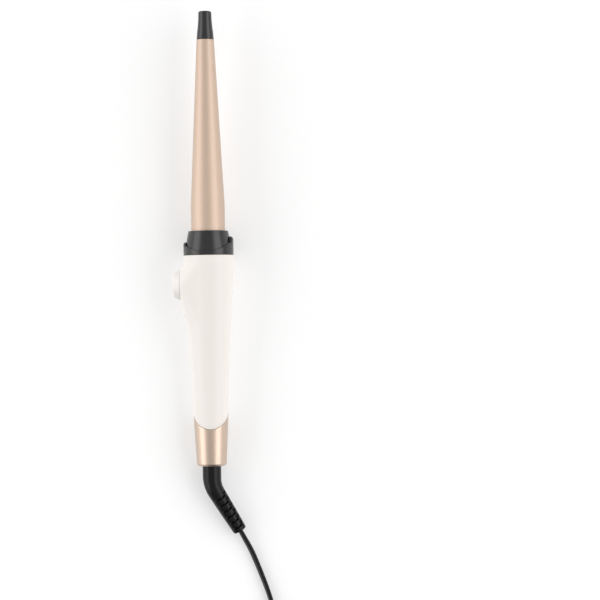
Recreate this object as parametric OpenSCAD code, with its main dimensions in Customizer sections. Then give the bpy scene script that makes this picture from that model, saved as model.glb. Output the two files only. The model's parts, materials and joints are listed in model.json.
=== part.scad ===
// Conical curling wand with a swivelling mains cord, lying on a flat surface.
// The wand's own pieces are drawn upright: Z runs from the tail to the tip, the button is on -X,
// -Y is the near side and the handle splits on the plane Y = 0.
// at_rest() then lays them down, near side up and tip towards +Y.
// The cord beyond its moulded relief is drawn where it lies, with Z = 0 as the surface.

/* [Barrel] */
// Diameter of the barrel where it meets the cool tip
barrel_tip_d = 13; // [11:0.5:16]
// Diameter of the straight stretch above the collar
barrel_base_d = 25; // [20.5:0.5:26]
// Length of the straight stretch above the collar
barrel_straight = 19; // [8:1:40]
// Length of the tapered stretch
barrel_taper = 122; // [100:1:180]
// Wall of the barrel tube
barrel_wall = 1.3; // [0.9:0.1:1.6]

/* [Cool tip] */
// Length of the cool tip above the barrel
tip_len = 21; // [17:1:30]
// Diameter of the tip's free end
tip_end_d = 9.7; // [9:0.1:11]
// Rounding of the tip's top edge
tip_round = 1.3; // [0.6:0.1:2]

/* [Collar and guard ring] */
// Height of the collar's cone above the handle's neck
collar_len = 15.3; // [12:0.1:20]
// Width of the collar's flat top rim around the barrel
collar_rim = 2.15; // [1.5:0.05:3]
// Height of the ring's ear on the button side
ear_low = 9.8; // [8:0.1:12]
// Height of the ring's ear on the other side
ear_high = 13.8; // [12:0.1:16]
// Radius of the saddle cut across the ring
saddle_r = 33.2; // [28:0.1:40]
// Height of the saddle's lowest point above the handle
saddle_low = 3; // [2.5:0.1:4]
// Rounding of the ears' outer edge
ear_round = 3; // [1:0.1:4]

/* [Handle] */
// Length of the handle from the tail's end to the guard ring
handle_len = 155.2; // [129:0.1:190]
// Diameter of the handle at the guard ring
handle_top_d = 36.9; // [36:0.1:45]
// Diameter of the handle where its shells' rounded ends begin
handle_nose_d = 25.9; // [24:0.1:31]
// Height of that place above the tail's end
nose_height = 39.6; // [36:0.1:46]
// Wall of the shells
handle_wall = 2.2; // [1.8:0.1:2.6]
// Height of the neck that the guard ring slips over
neck_height = 2.6; // [2.2:0.1:2.8]

/* [Button and pod] */
// Largest diameter of the button
button_d = 21.5; // [18:0.5:24]
// Height of the button's axis above the tail's end
button_height = 133.3; // [110:0.1:160]
// Distance of the pod's flat face from the wand's axis
pod_reach = 21.3; // [20.5:0.1:24]
// How far the button stands out of the pod
button_proud = 5.6; // [4:0.1:8]
// Travel of the button
button_travel = 1; // [0.6:0.1:1.2]
// Height of the status light's lens above the tail's end
lens_height = 112; // [100:1:118]

/* [Tail and swivel] */
// Diameter of the tail sleeve at its end
tail_d = 21.7; // [21:0.1:25]
// Wall of the tail sleeve
sleeve_wall = 1.5; // [1.2:0.1:1.8]
// Diameter of the cord relief where it leaves the sleeve
relief_d = 13.7; // [12:0.1:14.2]
// Angle of the relief's bend
relief_bend = 31; // [15:1:45]
// Radius of the bend's centre line
relief_bend_r = 22; // [18:1:30]
// Length of the slotted stretch after the bend
relief_len = 33.5; // [26:0.5:40]
// Diameter of the relief at its free end
relief_end_d = 10.2; // [8:0.1:11]
// Angle that the relief is turned down to touch the surface
relief_turn = 9; // [0:1:20]
// Number of flexing slots on each face of the relief
slot_count = 6; // [3:1:7]

/* [Circuit board] */
// Width of the circuit board
board_w = 18; // [16:0.5:19]
// Length of the circuit board
board_len = 86; // [78:1:88]
// Thickness of the circuit board
board_t = 1.6; // [1.2:0.1:2]

/* [Cord and plug] */
// Width of the flat two-core cord
cord_w = 5.2; // [4.5:0.1:5.6]
// Thickness of the flat cord
cord_t = 3.2; // [2.6:0.1:3.6]
// Diameter of a plug pin
pin_d = 4; // [3.8:0.1:4.2]
// Length of a plug pin
pin_len = 19; // [17:0.5:20]
// Distance between the plug pins
pin_gap = 18.6; // [17:0.1:19.2]

/* [Fits] */
// Radial clearance of a running shaft
run_fit = 0.08; // [0.02:0.01:0.1]
// Clearance between pieces that only slide together once
slip_fit = 0.1; // [0.05:0.01:0.2]
// Clearance around the button
button_fit = 0.3; // [0.2:0.05:0.4]

/* [Hidden] */
$fn = 64;
eps = 0.01;

// Barrel and tip stations along the wand
barrel_tip_r = barrel_tip_d / 2;
barrel_base_r = barrel_base_d / 2;
neck_top = handle_len + neck_height;
collar_top = neck_top + collar_len;
taper_start = collar_top + barrel_straight;
barrel_end = taper_start + barrel_taper;
wand_len = barrel_end + tip_len;
foot_t = 1.2;
foot_z = handle_len - 4;
collar_foot = foot_z + foot_t;

// Handle radii and stations
top_r = handle_top_d / 2;
nose_r = handle_nose_d / 2;
tail_r = tail_d / 2;
straight_z = handle_len - 6;
ring_skin = 0.7;
neck_r = top_r - ring_skin - slip_fit;
cavity_top_r = top_r - handle_wall;
lip_h = 1.8;
lip_groove = 0.85;
lip_r = cavity_top_r + lip_groove - 0.15;
spigot_r = cavity_top_r - 0.4;
foot_r = cavity_top_r - 0.35;
collar_base_r = neck_r - 0.05;
collar_top_r = barrel_base_r + collar_rim;
screw_circle_r = (barrel_base_r + spigot_r) / 2;
split_gap = 0.03;

// The handle's side is one Bezier curve from the tail sleeve up to the straight top
span = straight_z - nose_height;
curve = [
    [nose_r, nose_height],
    [nose_r + 1, nose_height + 0.41 * span],
    [top_r - 1.05, straight_z - 0.26 * span],
    [top_r, straight_z]
];
curve_steps = 14;
handle_curve = [for (i = [0:curve_steps]) bezier(curve, i / curve_steps)];
side_table = concat([[0, tail_r]], [for (p = handle_curve) [p[1], p[0]]], [[handle_len, top_r]]);

// Resting pose: the wand lies on the nose of its far shell and on the handle near the ring
rises = [for (p = handle_curve) if (p[1] > nose_height + 1) (p[0] - nose_r) / (p[1] - nose_height)];
rest_tilt = atan(max(rises));
wand_z = nose_r * cos(rest_tilt) - nose_height * sin(rest_tilt);

// The cord relief
elbow_start = -8.5;
elbow_reach = relief_bend_r * (1 - cos(relief_bend)) + relief_len * sin(relief_bend);
elbow_drop = elbow_start - relief_bend_r * sin(relief_bend) - relief_len * cos(relief_bend);
relief_r = relief_d / 2;
relief_end_r = relief_end_d / 2;
slot_pitch = 5;
slot_w = 1.1;

// The swivel
swivel_flange_r = 8;
swivel_flange_t = 2;
swivel_foot = 4;
journal_r = 5;
drum_r = 4.6;
drum_top = 21;
ring_r = 5.5;
ring_h = 2.5;
ring_places = [10, 14.5];
brush_room_r = 8.6;
brush_room_top = 24;
lip_z = 2;

// The wand's box, centred on the origin
wand_x = (pod_reach + button_proud - elbow_reach - relief_end_r * cos(relief_bend)) / 2;
wand_y = (-wand_len - elbow_drop + relief_end_r * sin(relief_bend)) / 2;

// Button pieces, measured outwards from the wand's axis
pod_face_r = button_d / 2 + 0.65;
pod_wall = 1.7;
flange_t = 1.25;
flange_r = button_d / 2 + 1.25;
boss_foot = 17;
plunger_r = 1.7;
plunger_top = 13.2;
plunger_foot = 6.6;
switch_w = 6.2;
switch_top = 9;

// Board faces, measured towards the button from the wand's axis
board_low = 3;
board_high = board_low + board_t;
board_foot = button_height - 75;
board_fit = 0.1;

// Heater stations
heater_foot = taper_start + 8;
heater_len = 68;
pack_near = -2.2;
pack_far = 0.4;
block_far_face = 2.2;
pack_w = 11;
spring_t = 0.3;

// Shell screws
screw_x = 6;
screw_heights = [52, button_height - 13];
shell_screw_r = 1.3;
shell_screw_len = 6;
boss_r = 2.9;

// Where the relief's free end lies at rest, and how far that is from where the cord's routes start
relief_end = [
    wand_x + elbow_reach * cos(relief_turn),
    wand_y + elbow_drop * cos(rest_tilt) + elbow_reach * sin(relief_turn) * sin(rest_tilt)
];
cord_shift = relief_end - [21.211, -190.286];

// The cord's route on the surface, from the relief to the coil, as [x, y, z, turn from upright]
lead_route = [
    [21.5, -190.8, 5.15, 20], [25.2, -197.6, 4.3, 25], [28.8, -204.4, 3.3, 28], [31.8, -211.3, 2.9, 28],
    [34.5, -218, 2.8, 26], [37.1, -224.7, 2.8, 24], [39.7, -231.7, 2.7, 22], [42.6, -240.5, 2.7, 18],
    [45.4, -250.5, 2.7, 12], [47.8, -261, 2.8, 6], [49.8, -272, 3.2, 0], [50.7, -281, 3.5, 0]
];
coil_x = 14;
coil_y = -286;
coil_inner = 20.5;
coil_outer = 36.9;
coil_foot = 0.8;
coil_layers = 2;
layer_h = 5.4;
coil_top = coil_foot + coil_layers * layer_h;
plug_x = 24.6;

// The cord's route over the coil to the plug
tail_route = [
    [-21.2, -296, 9, 0], [-21.8, -287, 10.8, 0], [-21, -278, 13, 0], [-18, -270.4, 14.3, 0],
    [-13, -264.2, 14.3, 0], [-6.4, -260, 14.3, 0], [1.4, -258, 14.3, 0], [9.2, -259, 14.6, 0],
    [16, -262.6, 15.4, 0], [21, -267.6, 16.6, 0], [23.9, -273.6, 17.8, 0], [24.6, -278, 18.4, 0],
    [24.6, -281.5, 18.45, 0]
];
plug_rear = -281.5;
plug_tail_len = 10;
plug_len = 24;
plug_w = 35.3;
plug_h = 13.7;
plug_z = coil_top + plug_h / 2;

// ---------------------------------------------------------------- helpers

function bezier(p, t) =
    pow(1 - t, 3) * p[0] + 3 * pow(1 - t, 2) * t * p[1] + 3 * (1 - t) * t * t * p[2] + t * t * t * p[3];

// Points on an arc about [cx, cy] from angle a0 to a1
function arc(cx, cy, r, a0, a1, n = 6) =
    [for (i = [0:n]) let (a = a0 + (a1 - a0) * i / n) [cx + r * cos(a), cy + r * sin(a)]];

function unit(v) = v / norm(v);

// Outer radius of handle and sleeve at a height
function side_r(z) = lookup(z, side_table);

// Inner radius of the barrel at a height
function bore_r(z) =
    z < taper_start ? barrel_base_r - barrel_wall
    : barrel_base_r - barrel_wall - (barrel_base_r - barrel_tip_r) * (z - taper_start) / barrel_taper;

// Direction of a route at its point i
function heading(path, i) =
    let (last = len(path) - 1)
    unit(path[min(i + 1, last)] - path[max(i - 1, 0)]);

// One ring of a swept tube: an ellipse across the path, with its tall axis near "up"
function tube_ring(path, i, up, half_side, half_up, turn, sides) =
    let (t = heading(path, i), s0 = unit(cross(t, up)), u0 = cross(s0, t))
    let (s = s0 * cos(turn) + u0 * sin(turn), u = u0 * cos(turn) - s0 * sin(turn))
    [for (k = [0:sides - 1]) let (a = 360 * k / sides)
        path[i] + s * half_side * cos(a) + u * half_up * sin(a)];

// A closed tube swept along path: half_side, half_up and turn hold one value for each point
module sweep(path, half_side, half_up, turn, up = [0, 0, 1], sides = 8) {
    n = len(path);
    points = [for (i = [0:n - 1]) each tube_ring(path, i, up, half_side[i], half_up[i], turn[i], sides)];
    walls = [for (i = [0:n - 2], k = [0:sides - 1])
        [i * sides + k, i * sides + (k + 1) % sides, (i + 1) * sides + (k + 1) % sides, (i + 1) * sides + k]];
    start = [for (k = [sides - 1:-1:0]) k];
    end = [for (k = [0:sides - 1]) (n - 1) * sides + k];
    polyhedron(points, concat(walls, [start, end]), convexity = 8);
}

// A round wire through points
module wire(path, d, up = [0, 1, 0]) {
    all = [for (p = path) d / 2];
    sweep(path, all, all, [for (p = path) 0], up, 8);
}

// Lays the upright wand down at its resting place
module at_rest() {
    translate([wand_x, wand_y, wand_z])
        rotate([rest_tilt, 0, 0])
        rotate([-90, 0, 0])
        children();
}

// Keeps the cord and its plug at the end of the relief
module on_cord() {
    translate([cord_shift[0], cord_shift[1], 0])
        children();
}

// Turns a shape drawn along Z so that Z points out of the pod at a height on the wand
module on_pod(height) {
    translate([0, 0, height])
        rotate([0, -90, 0])
        children();
}

// Everything on one side of the handle's split: side is -1 for near, 1 for far
module half_space(side, gap = split_gap) {
    size = 2 * wand_len;
    translate([-size / 2, side > 0 ? gap : -gap - size, -size / 2])
        cube(size);
}

// Three places around the axis for the barrel's screws
module at_barrel_screws() {
    for (a = [30, 150, 270])
        rotate([0, 0, a])
        translate([screw_circle_r, 0, 0])
        children();
}

// Everything above the two 45 degree cuts that end the shells, moved up by gap
module nose_wedge(gap) {
    reach = 30;
    cut = nose_height + gap;
    rotate([90, 0, 90])
        linear_extrude(2 * reach, center = true)
        polygon([
            [-reach, cut - reach], [0, cut], [reach, cut - reach], [reach, handle_len + reach],
            [-reach, handle_len + reach]
        ]);
}

// ---------------------------------------------------------------- barrel and tip

module barrel_tube() {
    color("#d9bfa9")
    difference() {
        rotate_extrude()
            polygon([
                [barrel_base_r - barrel_wall, foot_z], [foot_r, foot_z], [foot_r, collar_foot],
                [barrel_base_r, collar_foot], [barrel_base_r, taper_start], [barrel_tip_r, barrel_end - 0.4],
                [barrel_tip_r - 0.4, barrel_end], [barrel_tip_r - barrel_wall, barrel_end],
                [barrel_base_r - barrel_wall, taper_start]
            ]);
        at_barrel_screws()
            translate([0, 0, foot_z - 1])
            cylinder(r = 1.25, h = foot_t + 2, $fn = 24);
    }
}

tip_foot_r = barrel_tip_r - 0.15;
tip_spigot_len = 8;
tip_recess = 8;
cap_t = 1.5;
screw_r = 1.45;
end_plug_z = barrel_end - 14;
end_plug_t = 5;

module cool_tip() {
    end_r = tip_end_d / 2;
    side = [[tip_foot_r, barrel_end + eps], [tip_foot_r - 0.45, barrel_end + 0.24 * tip_len],
        [end_r + 0.2, barrel_end + 0.48 * tip_len], [end_r, wand_len - tip_round]];
    spigot_r = bore_r(barrel_end) - slip_fit;
    color("#37373a")
    difference() {
        rotate_extrude()
            polygon(concat(
                [[0, barrel_end - tip_spigot_len], [spigot_r, barrel_end - tip_spigot_len]],
                [[spigot_r, barrel_end + eps]],
                [for (i = [0:8]) bezier(side, i / 8)],
                arc(end_r - tip_round, wand_len - tip_round, tip_round, 15, 90),
                [[0, wand_len]]
            ));
        translate([0, 0, barrel_end - tip_spigot_len - 1])
            cylinder(r = 1.6, h = tip_len + tip_spigot_len, $fn = 24);
        translate([0, 0, wand_len - tip_recess])
            cylinder(r = 2.6, h = tip_recess + 1, $fn = 32);
    }
}

module tip_cap() {
    color("#303033")
    translate([0, 0, wand_len - cap_t])
        cylinder(r = 2.6, h = cap_t, $fn = 32);
}

module tip_screw() {
    head_z = wand_len - tip_recess;
    color("silver")
    difference() {
        union() {
            translate([0, 0, end_plug_z])
                cylinder(r = screw_r, h = head_z - end_plug_z + eps, $fn = 24);
            translate([0, 0, head_z])
                cylinder(r = 2.4, h = 1.8, $fn = 32);
        }
        cross_recess(head_z + 1.8);
    }
}

// A cross recess in a screw head whose top is at z
module cross_recess(z, span = 2.4) {
    for (a = [0, 90])
        translate([0, 0, z])
        rotate([0, 0, a])
        cube([span, 0.5, 1.6], center = true);
}

module barrel_end_plug() {
    fit = 0.02;
    color("silver")
    difference() {
        translate([0, 0, end_plug_z])
            cylinder(h = end_plug_t,
                r1 = bore_r(end_plug_z) - fit, r2 = bore_r(end_plug_z + end_plug_t) - fit);
        translate([0, 0, end_plug_z - 1])
            cylinder(r = screw_r, h = end_plug_t + 2, $fn = 24);
    }
}

// ---------------------------------------------------------------- heater

module heater_half(side, face) {
    fit = 0.05;
    heater_end = heater_foot + heater_len;
    difference() {
        translate([0, 0, heater_foot])
            cylinder(r1 = bore_r(heater_foot) - fit, r2 = bore_r(heater_end) - fit, h = heater_len);
        translate([-20, side > 0 ? face - 40 : face, heater_foot - 1])
            cube([40, 40, heater_len + 2]);
    }
}

sensor_y = -6;
sensor_depth = 12;

module heater_block_near() {
    color("#b9bcc0")
    difference() {
        heater_half(-1, pack_near);
        translate([0, sensor_y, heater_foot - 1])
            cylinder(r = 1.3, h = sensor_depth + 1, $fn = 24);
    }
}

module heater_block_far() {
    color("#b9bcc0")
    heater_half(1, block_far_face);
}

module ptc_heater() {
    edge = 4;
    color("#8a6d4f")
    translate([-pack_w / 2, pack_near, heater_foot - edge])
        cube([pack_w, pack_far - pack_near, heater_len + edge - 2]);
}

// Bowed leaf that presses the heater pack against the near block
module heater_spring() {
    sag = block_far_face - pack_far - spring_t;
    chord = heater_len - 12;
    bow_r = (pow(chord / 2, 2) + sag * sag) / (2 * sag);
    color("#9aa0a6")
    translate([-4, 0, heater_foot + heater_len / 2])
        rotate([90, 0, 90])
        linear_extrude(8)
        intersection() {
            difference() {
                translate([pack_far + bow_r, 0])
                    circle(r = bow_r, $fn = 360);
                translate([pack_far + bow_r, 0])
                    circle(r = bow_r - spring_t, $fn = 360);
            }
            translate([pack_far, -chord / 2])
                square([block_far_face - pack_far, chord]);
        }
}

module temperature_sensor() {
    color("#c98b3c")
    translate([0, sensor_y, heater_foot + sensor_depth - 3])
        sphere(r = 1.1, $fn = 24);
}

fuse_x = 5.5;
fuse_z = taper_start - 14;
fuse_len = 11;

module thermal_fuse() {
    color("#cfcfc8")
    translate([fuse_x, 0, fuse_z])
        union() {
            cylinder(r = 2, h = fuse_len, $fn = 32);
            translate([0, 0, -3])
                cylinder(r = 0.5, h = fuse_len + 6, $fn = 16);
        }
}

lead_d = 1.6;
board_top = board_foot + board_len;

module heater_leads() {
    pack_y = (pack_near + pack_far) / 2;
    pack_foot = heater_foot - 4;
    fuse_top = fuse_z + fuse_len + 3;
    color("#e8e4da") {
        wire([
            [fuse_x, 0, fuse_top + 0.02], [fuse_x, 0, fuse_top + 1], [3.6, pack_y, pack_foot - 1.2],
            [3.6, pack_y, pack_foot - 0.02]
        ], lead_d);
        wire([
            [fuse_x, 0, fuse_z - 3.02], [fuse_x, 0, fuse_z - 4], [4.6, 1.2, foot_z + 8], [3.2, 3.2, foot_z],
            [-1, 4.2, board_top + 4.2], [-3.8, 4.5, board_top + 1.8], [-3.8, 4.5, board_top + 0.02]
        ], lead_d);
        wire([
            [-3.6, pack_y, pack_foot - 0.02], [-3.6, pack_y, pack_foot - 2], [-4.2, -1.4, fuse_z + 4],
            [-3.8, -2.4, foot_z + 8], [-3.2, -3.6, foot_z], [-3.8, -4.5, board_top + 1.8],
            [-3.8, -4.5, board_top + 0.02]
        ], lead_d);
    }
}

module sensor_leads() {
    color("#3a3a3c")
    for (side = [-1, 1])
        wire([
            [side * 0.45, sensor_y, heater_foot + sensor_depth - 4.2], [side * 0.6, sensor_y, heater_foot - 6],
            [side * 0.9, -5, foot_z + 12], [side * 0.9 - 1, -2, foot_z], [-3.8, side * 0.9, board_top + 1.5],
            [-3.8, side * 0.9, board_top + 0.02]
        ], 0.7);
}

disc_t = 1.5;
barrel_screw_r = 1.1;
barrel_screw_len = 9;

module insulating_disc() {
    color("#d8cfb8")
    difference() {
        translate([0, 0, foot_z - disc_t])
            cylinder(r = foot_r, h = disc_t);
        translate([0, 0, foot_z - disc_t - 1])
            cylinder(r = 7.5, h = disc_t + 2);
        at_barrel_screws()
            translate([0, 0, foot_z - disc_t - 1])
            cylinder(r = 1.25, h = disc_t + 2, $fn = 24);
    }
}

module barrel_screws() {
    color("silver")
    at_barrel_screws() {
        translate([0, 0, foot_z - disc_t - eps])
            cylinder(r = barrel_screw_r, h = barrel_screw_len, $fn = 24);
        difference() {
            translate([0, 0, foot_z - disc_t - 1.5])
                cylinder(r = 1.9, h = 1.5, $fn = 32);
            cross_recess(foot_z - disc_t - 1.5, 2);
        }
    }
}

// ---------------------------------------------------------------- collar and guard ring

module collar_cone() {
    bore = barrel_base_r + slip_fit;
    color("#4a4a4c")
    difference() {
        rotate_extrude()
            polygon(concat(
                [[bore, collar_foot], [lip_r, collar_foot], [lip_r, collar_foot + lip_h]],
                [[spigot_r, collar_foot + lip_h], [spigot_r, neck_top], [collar_base_r, neck_top]],
                arc(collar_top_r - 0.5, collar_top - 0.5, 0.5, 10, 90),
                [[bore, collar_top]]
            ));
        at_barrel_screws()
            translate([0, 0, collar_foot - 1])
            cylinder(r = barrel_screw_r, h = barrel_screw_len, $fn = 24);
    }
}

module guard_ring() {
    ear_tilt = atan((ear_high - ear_low) / (2 * top_r));
    ear_mid = handle_len + (ear_high + ear_low) / 2;
    cone_gap = 0.2;
    slope = (collar_base_r - collar_top_r) / collar_len;
    saddle_z = handle_len + saddle_low + saddle_r;
    saddle_x = -1.9;
    ear_inner = top_r - 1.95;
    color("#3f3f41")
    difference() {
        intersection() {
            translate([0, 0, handle_len])
                cylinder(r = top_r, h = ear_high + 4);
            translate([0, 0, ear_mid])
                rotate([0, -ear_tilt, 0])
                rotate_extrude()
                polygon(concat([[0, -30], [top_r + 0.2, -30]],
                    arc(top_r + 0.2 - ear_round, -ear_round, ear_round, 0, 90), [[0, 0]]));
        }
        translate([0, 0, handle_len - 1])
            cylinder(r = neck_r + slip_fit, h = neck_height + 1 + eps);
        translate([0, 0, neck_top])
            cylinder(r1 = collar_base_r + cone_gap, r2 = collar_base_r + cone_gap - slope * 20, h = 20);
        rotate([90, 0, 0])
            linear_extrude(60, center = true)
            intersection() {
                translate([saddle_x, saddle_z])
                    circle(r = saddle_r, $fn = 180);
                translate([-ear_inner, handle_len])
                    square([2 * ear_inner - 0.2, 60]);
            }
    }
}

// ---------------------------------------------------------------- handle shells

// Outer surface of handle and pod, down to the tail's end
module handle_outer() {
    rotate_extrude()
        polygon(concat([[0, 0], [tail_r, 0]], handle_curve, [[top_r, handle_len], [0, handle_len]]));
    hull() {
        on_pod(button_height)
            rotate_extrude($fn = 48)
            polygon(concat([[0, 12], [pod_face_r + 2, 12]],
                arc(pod_face_r - 0.4, pod_reach - 2.4, 2.4, 0, 90), [[0, pod_reach]]));
        translate([0, 0, button_height + 13])
            cylinder(r = side_r(button_height + 13) - 0.35, h = 1.8, $fn = 48);
        translate([0, 0, button_height - 33])
            cylinder(r = side_r(button_height - 33) - 0.4, h = 1, $fn = 48);
    }
}

// Room inside the shells: swivel bearing, brush room, handle, lip groove and neck
module handle_cavity() {
    flange_room = swivel_foot + swivel_flange_t + run_fit;
    bearing_top = swivel_foot + swivel_flange_t + 2;
    groove_r = cavity_top_r + lip_groove;
    rotate_extrude()
        polygon(concat(
            [[0, lip_z - 1], [relief_r + slip_fit, lip_z - 1], [relief_r + slip_fit, swivel_foot - run_fit]],
            [[swivel_flange_r + 0.15, swivel_foot - run_fit], [swivel_flange_r + 0.15, flange_room]],
            [[journal_r + run_fit, flange_room], [journal_r + run_fit, bearing_top]],
            [[brush_room_r, bearing_top], [brush_room_r, brush_room_top]],
            [for (z = [brush_room_top + 2, nose_height + 1]) [side_r(z) - sleeve_wall - slip_fit - 1.2, z]],
            [for (z = [nose_height + 5:12:collar_foot - 8]) [side_r(z) - handle_wall, z]],
            [[cavity_top_r, collar_foot - 4], [cavity_top_r, collar_foot - 0.1]],
            [[groove_r, collar_foot - 0.1], [groove_r, collar_foot + lip_h + 0.1]],
            [[spigot_r + 0.15, collar_foot + lip_h + 0.1], [spigot_r + 0.15, neck_top + 1], [0, neck_top + 1]]
        ));
    on_pod(button_height)
        cylinder(r = flange_r + button_fit, h = pod_reach - pod_wall);
}

module shell_body() {
    difference() {
        union() {
            intersection() {
                handle_outer();
                nose_wedge(0.08);
            }
            rotate_extrude()
                polygon([
                    [0, lip_z], [side_r(lip_z) - sleeve_wall - slip_fit, lip_z],
                    [side_r(nose_height) - sleeve_wall - slip_fit, nose_height],
                    [nose_r - sleeve_wall - slip_fit, nose_height + 3], [0, nose_height + 3]
                ]);
            translate([0, 0, handle_len - 1])
                cylinder(r = neck_r, h = neck_height + 1);
        }
        handle_cavity();
        on_pod(button_height)
            cylinder(r = button_d / 2 + button_fit, h = pod_reach + 5);
        on_pod(lens_height)
            cylinder(r = 1.6, h = pod_reach + 5, $fn = 32);
    }
}

rib_foot_gap = 10;
rib_t = 2;

// Grooved ribs that hold the circuit board's edges in one shell
module board_ribs(side) {
    grip = 0.8;
    for (z = [board_foot + rib_foot_gap, board_foot + board_len / 2, board_top - rib_foot_gap])
        difference() {
            intersection() {
                translate([-board_high - 1.8, side > 0 ? board_w / 2 - grip : -20 - board_w / 2 + grip, z])
                    cube([board_t + 3.6, 20, rib_t]);
                translate([0, 0, z - 1])
                    cylinder(r = side_r(z) - handle_wall + 0.4, h = rib_t + 2);
            }
            translate([-board_high - board_fit, -(board_w / 2 + board_fit), z - 1])
                cube([board_t + 2 * board_fit, board_w + 2 * board_fit, rib_t + 2]);
        }
}

head_seat = 4;
well_r = 2.8;

// Length that takes a screw boss of radius r from the split into the handle's wall
function boss_len(z, r, sink) = sqrt(pow(side_r(z) - handle_wall + sink, 2) - pow(screw_x + r, 2));

module handle_shell_near() {
    color("#ebe6e0")
    intersection() {
        union() {
            shell_body();
            board_ribs(-1);
            for (z = screw_heights)
                difference() {
                    translate([screw_x, -split_gap, z])
                        rotate([90, 0, 0])
                        cylinder(r = boss_r, h = boss_len(z, boss_r, 0.4), $fn = 32);
                    translate([screw_x, 1, z])
                        rotate([90, 0, 0])
                        cylinder(r = shell_screw_r, h = shell_screw_len + 1, $fn = 24);
                }
        }
        half_space(-1);
    }
}

module handle_shell_far() {
    far_boss_r = boss_r + 1.2;
    color("#ebe6e0")
    intersection() {
        difference() {
            union() {
                shell_body();
                board_ribs(1);
                for (z = screw_heights)
                    translate([screw_x, 0, z])
                    rotate([-90, 0, 0])
                    cylinder(r = far_boss_r, h = boss_len(z, far_boss_r, 0.6), $fn = 32);
            }
            for (z = screw_heights)
                translate([screw_x, 0, z])
                rotate([-90, 0, 0]) {
                    translate([0, 0, -1])
                        cylinder(r = shell_screw_r + 0.15, h = 30, $fn = 24);
                    translate([0, 0, head_seat])
                        cylinder(r = well_r, h = 30, $fn = 32);
                }
        }
        half_space(1);
    }
}

module shell_screws() {
    color("silver")
    for (z = screw_heights)
        translate([screw_x, 0, z])
            rotate([-90, 0, 0])
            difference() {
                union() {
                    translate([0, 0, -shell_screw_len])
                        cylinder(r = shell_screw_r, h = shell_screw_len + head_seat + eps, $fn = 24);
                    translate([0, 0, head_seat])
                        cylinder(r = 2.5, h = 1.7, $fn = 32);
                }
                cross_recess(head_seat + 1.7);
            }
}

// Caps that close the screw wells, trimmed to the handle's surface
module screw_caps() {
    color("#e6e0d9")
    for (z = screw_heights)
        intersection() {
            rotate_extrude()
                polygon(concat([[0, nose_height]], handle_curve, [[0, straight_z]]));
            translate([screw_x, head_seat + 1.8, z])
                rotate([-90, 0, 0])
                cylinder(r = well_r - 0.05, h = 20, $fn = 32);
        }
}

// ---------------------------------------------------------------- button and switch

module power_button() {
    face = pod_reach + button_proud;
    half = button_d / 2;
    under = pod_reach - pod_wall;
    edge_r = 2.2;
    draft = 18;
    face_r = half - 2.3;
    color("#ece7e1")
    on_pod(button_height)
    difference() {
        rotate_extrude()
            polygon(concat(
                [[0, plunger_top], [2.4, plunger_top], [2.4, boss_foot], [6.2, boss_foot], [6.2, face - 3],
                    [half - 3, face - 3.6], [half - 1.6, under - flange_t], [flange_r, under - flange_t],
                    [flange_r, under - 0.05], [half, under - 0.05], [half, pod_reach + 0.3]],
                arc(face_r - edge_r + 0.9, face - edge_r - 0.35, edge_r, draft, 85),
                [[0, face]]
            ));
        translate([0, 0, face - 0.15])
            power_mark();
    }
}

// Plain on/off mark: an open ring and a bar, sunk into the button's face
module power_mark() {
    mark_r = 3.2;
    line = 0.55;
    linear_extrude(1) {
        difference() {
            circle(r = mark_r);
            circle(r = mark_r - line);
            translate([-0.2, -1.1])
                square([mark_r + 1, 2.2]);
        }
        translate([0.9, -line / 2])
            square([mark_r - 0.3, line]);
    }
}

module switch_plunger() {
    color("#3b3b3b")
    on_pod(button_height)
    translate([0, 0, plunger_foot])
        cylinder(r = plunger_r, h = plunger_top - plunger_foot, $fn = 32);
}

module tact_switch() {
    body_h = 3.6;
    color("#2d2d2f")
    on_pod(button_height)
    difference() {
        union() {
            translate([-switch_w / 2, -switch_w / 2, board_high])
                cube([switch_w, switch_w, body_h]);
            translate([0, 0, board_high + body_h - eps])
                cylinder(r = 2.6, h = switch_top - board_high - body_h + eps, $fn = 32);
        }
        translate([0, 0, plunger_foot - button_travel - 0.3])
            cylinder(r = plunger_r + run_fit, h = 6, $fn = 32);
    }
}

// Return spring between the board and the boss under the button
module button_spring() {
    turns = 6;
    spring_r = 5.2;
    wire_d = 0.6;
    foot = board_high + wire_d / 2 + 0.02;
    top = boss_foot - wire_d / 2 - 0.02;
    steps = turns * 12;
    path = [for (i = [0:steps]) let (a = 360 * turns * i / steps)
        [spring_r * cos(a), spring_r * sin(a), foot + (top - foot) * i / steps]];
    all = [for (p = path) wire_d / 2];
    color("#a8adb3")
    on_pod(button_height)
        sweep(path, all, all, [for (p = path) 0], [0, 0, 1], 6);
}

// ---------------------------------------------------------------- electronics

module circuit_board() {
    color("#1f6b3c")
    translate([-board_high, -board_w / 2, board_foot])
        cube([board_t, board_w, board_len]);
}

// A box standing on the board: side 1 is the button side, -1 the other
module on_board(side, z, y, size_z, size_y, tall) {
    translate([side > 0 ? -board_high - tall : -board_low, y - size_y / 2, z])
        cube([tall, size_y, size_z]);
}

module control_chip() {
    color("#1c1c1e") {
        on_board(1, board_foot + 34, 0, 8.7, 3.9, 1.6);
        for (side = [-1, 1], i = [0:6])
            on_board(1, board_foot + 34.6 + 1.2 * i, side * 2.45, 0.45, 1, 0.4);
    }
}

module triac() {
    z = board_foot + 62;
    color("#26262a")
        on_board(-1, z, 0, 10, 9.4, 4.4);
    color("silver")
        translate([-board_low + 3.2, -4.7, z + 10])
        cube([1.2, 9.4, 5]);
}

module film_capacitor() {
    color("#c9a227")
    on_board(-1, board_foot + 8, 0, 13, 11, 6);
}

module electrolytic_capacitor() {
    can_r = 4;
    color("#2b3a67")
    translate([-board_low + can_r, -3, board_foot + 25])
        cylinder(r = can_r, h = 12, $fn = 40);
}

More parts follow.
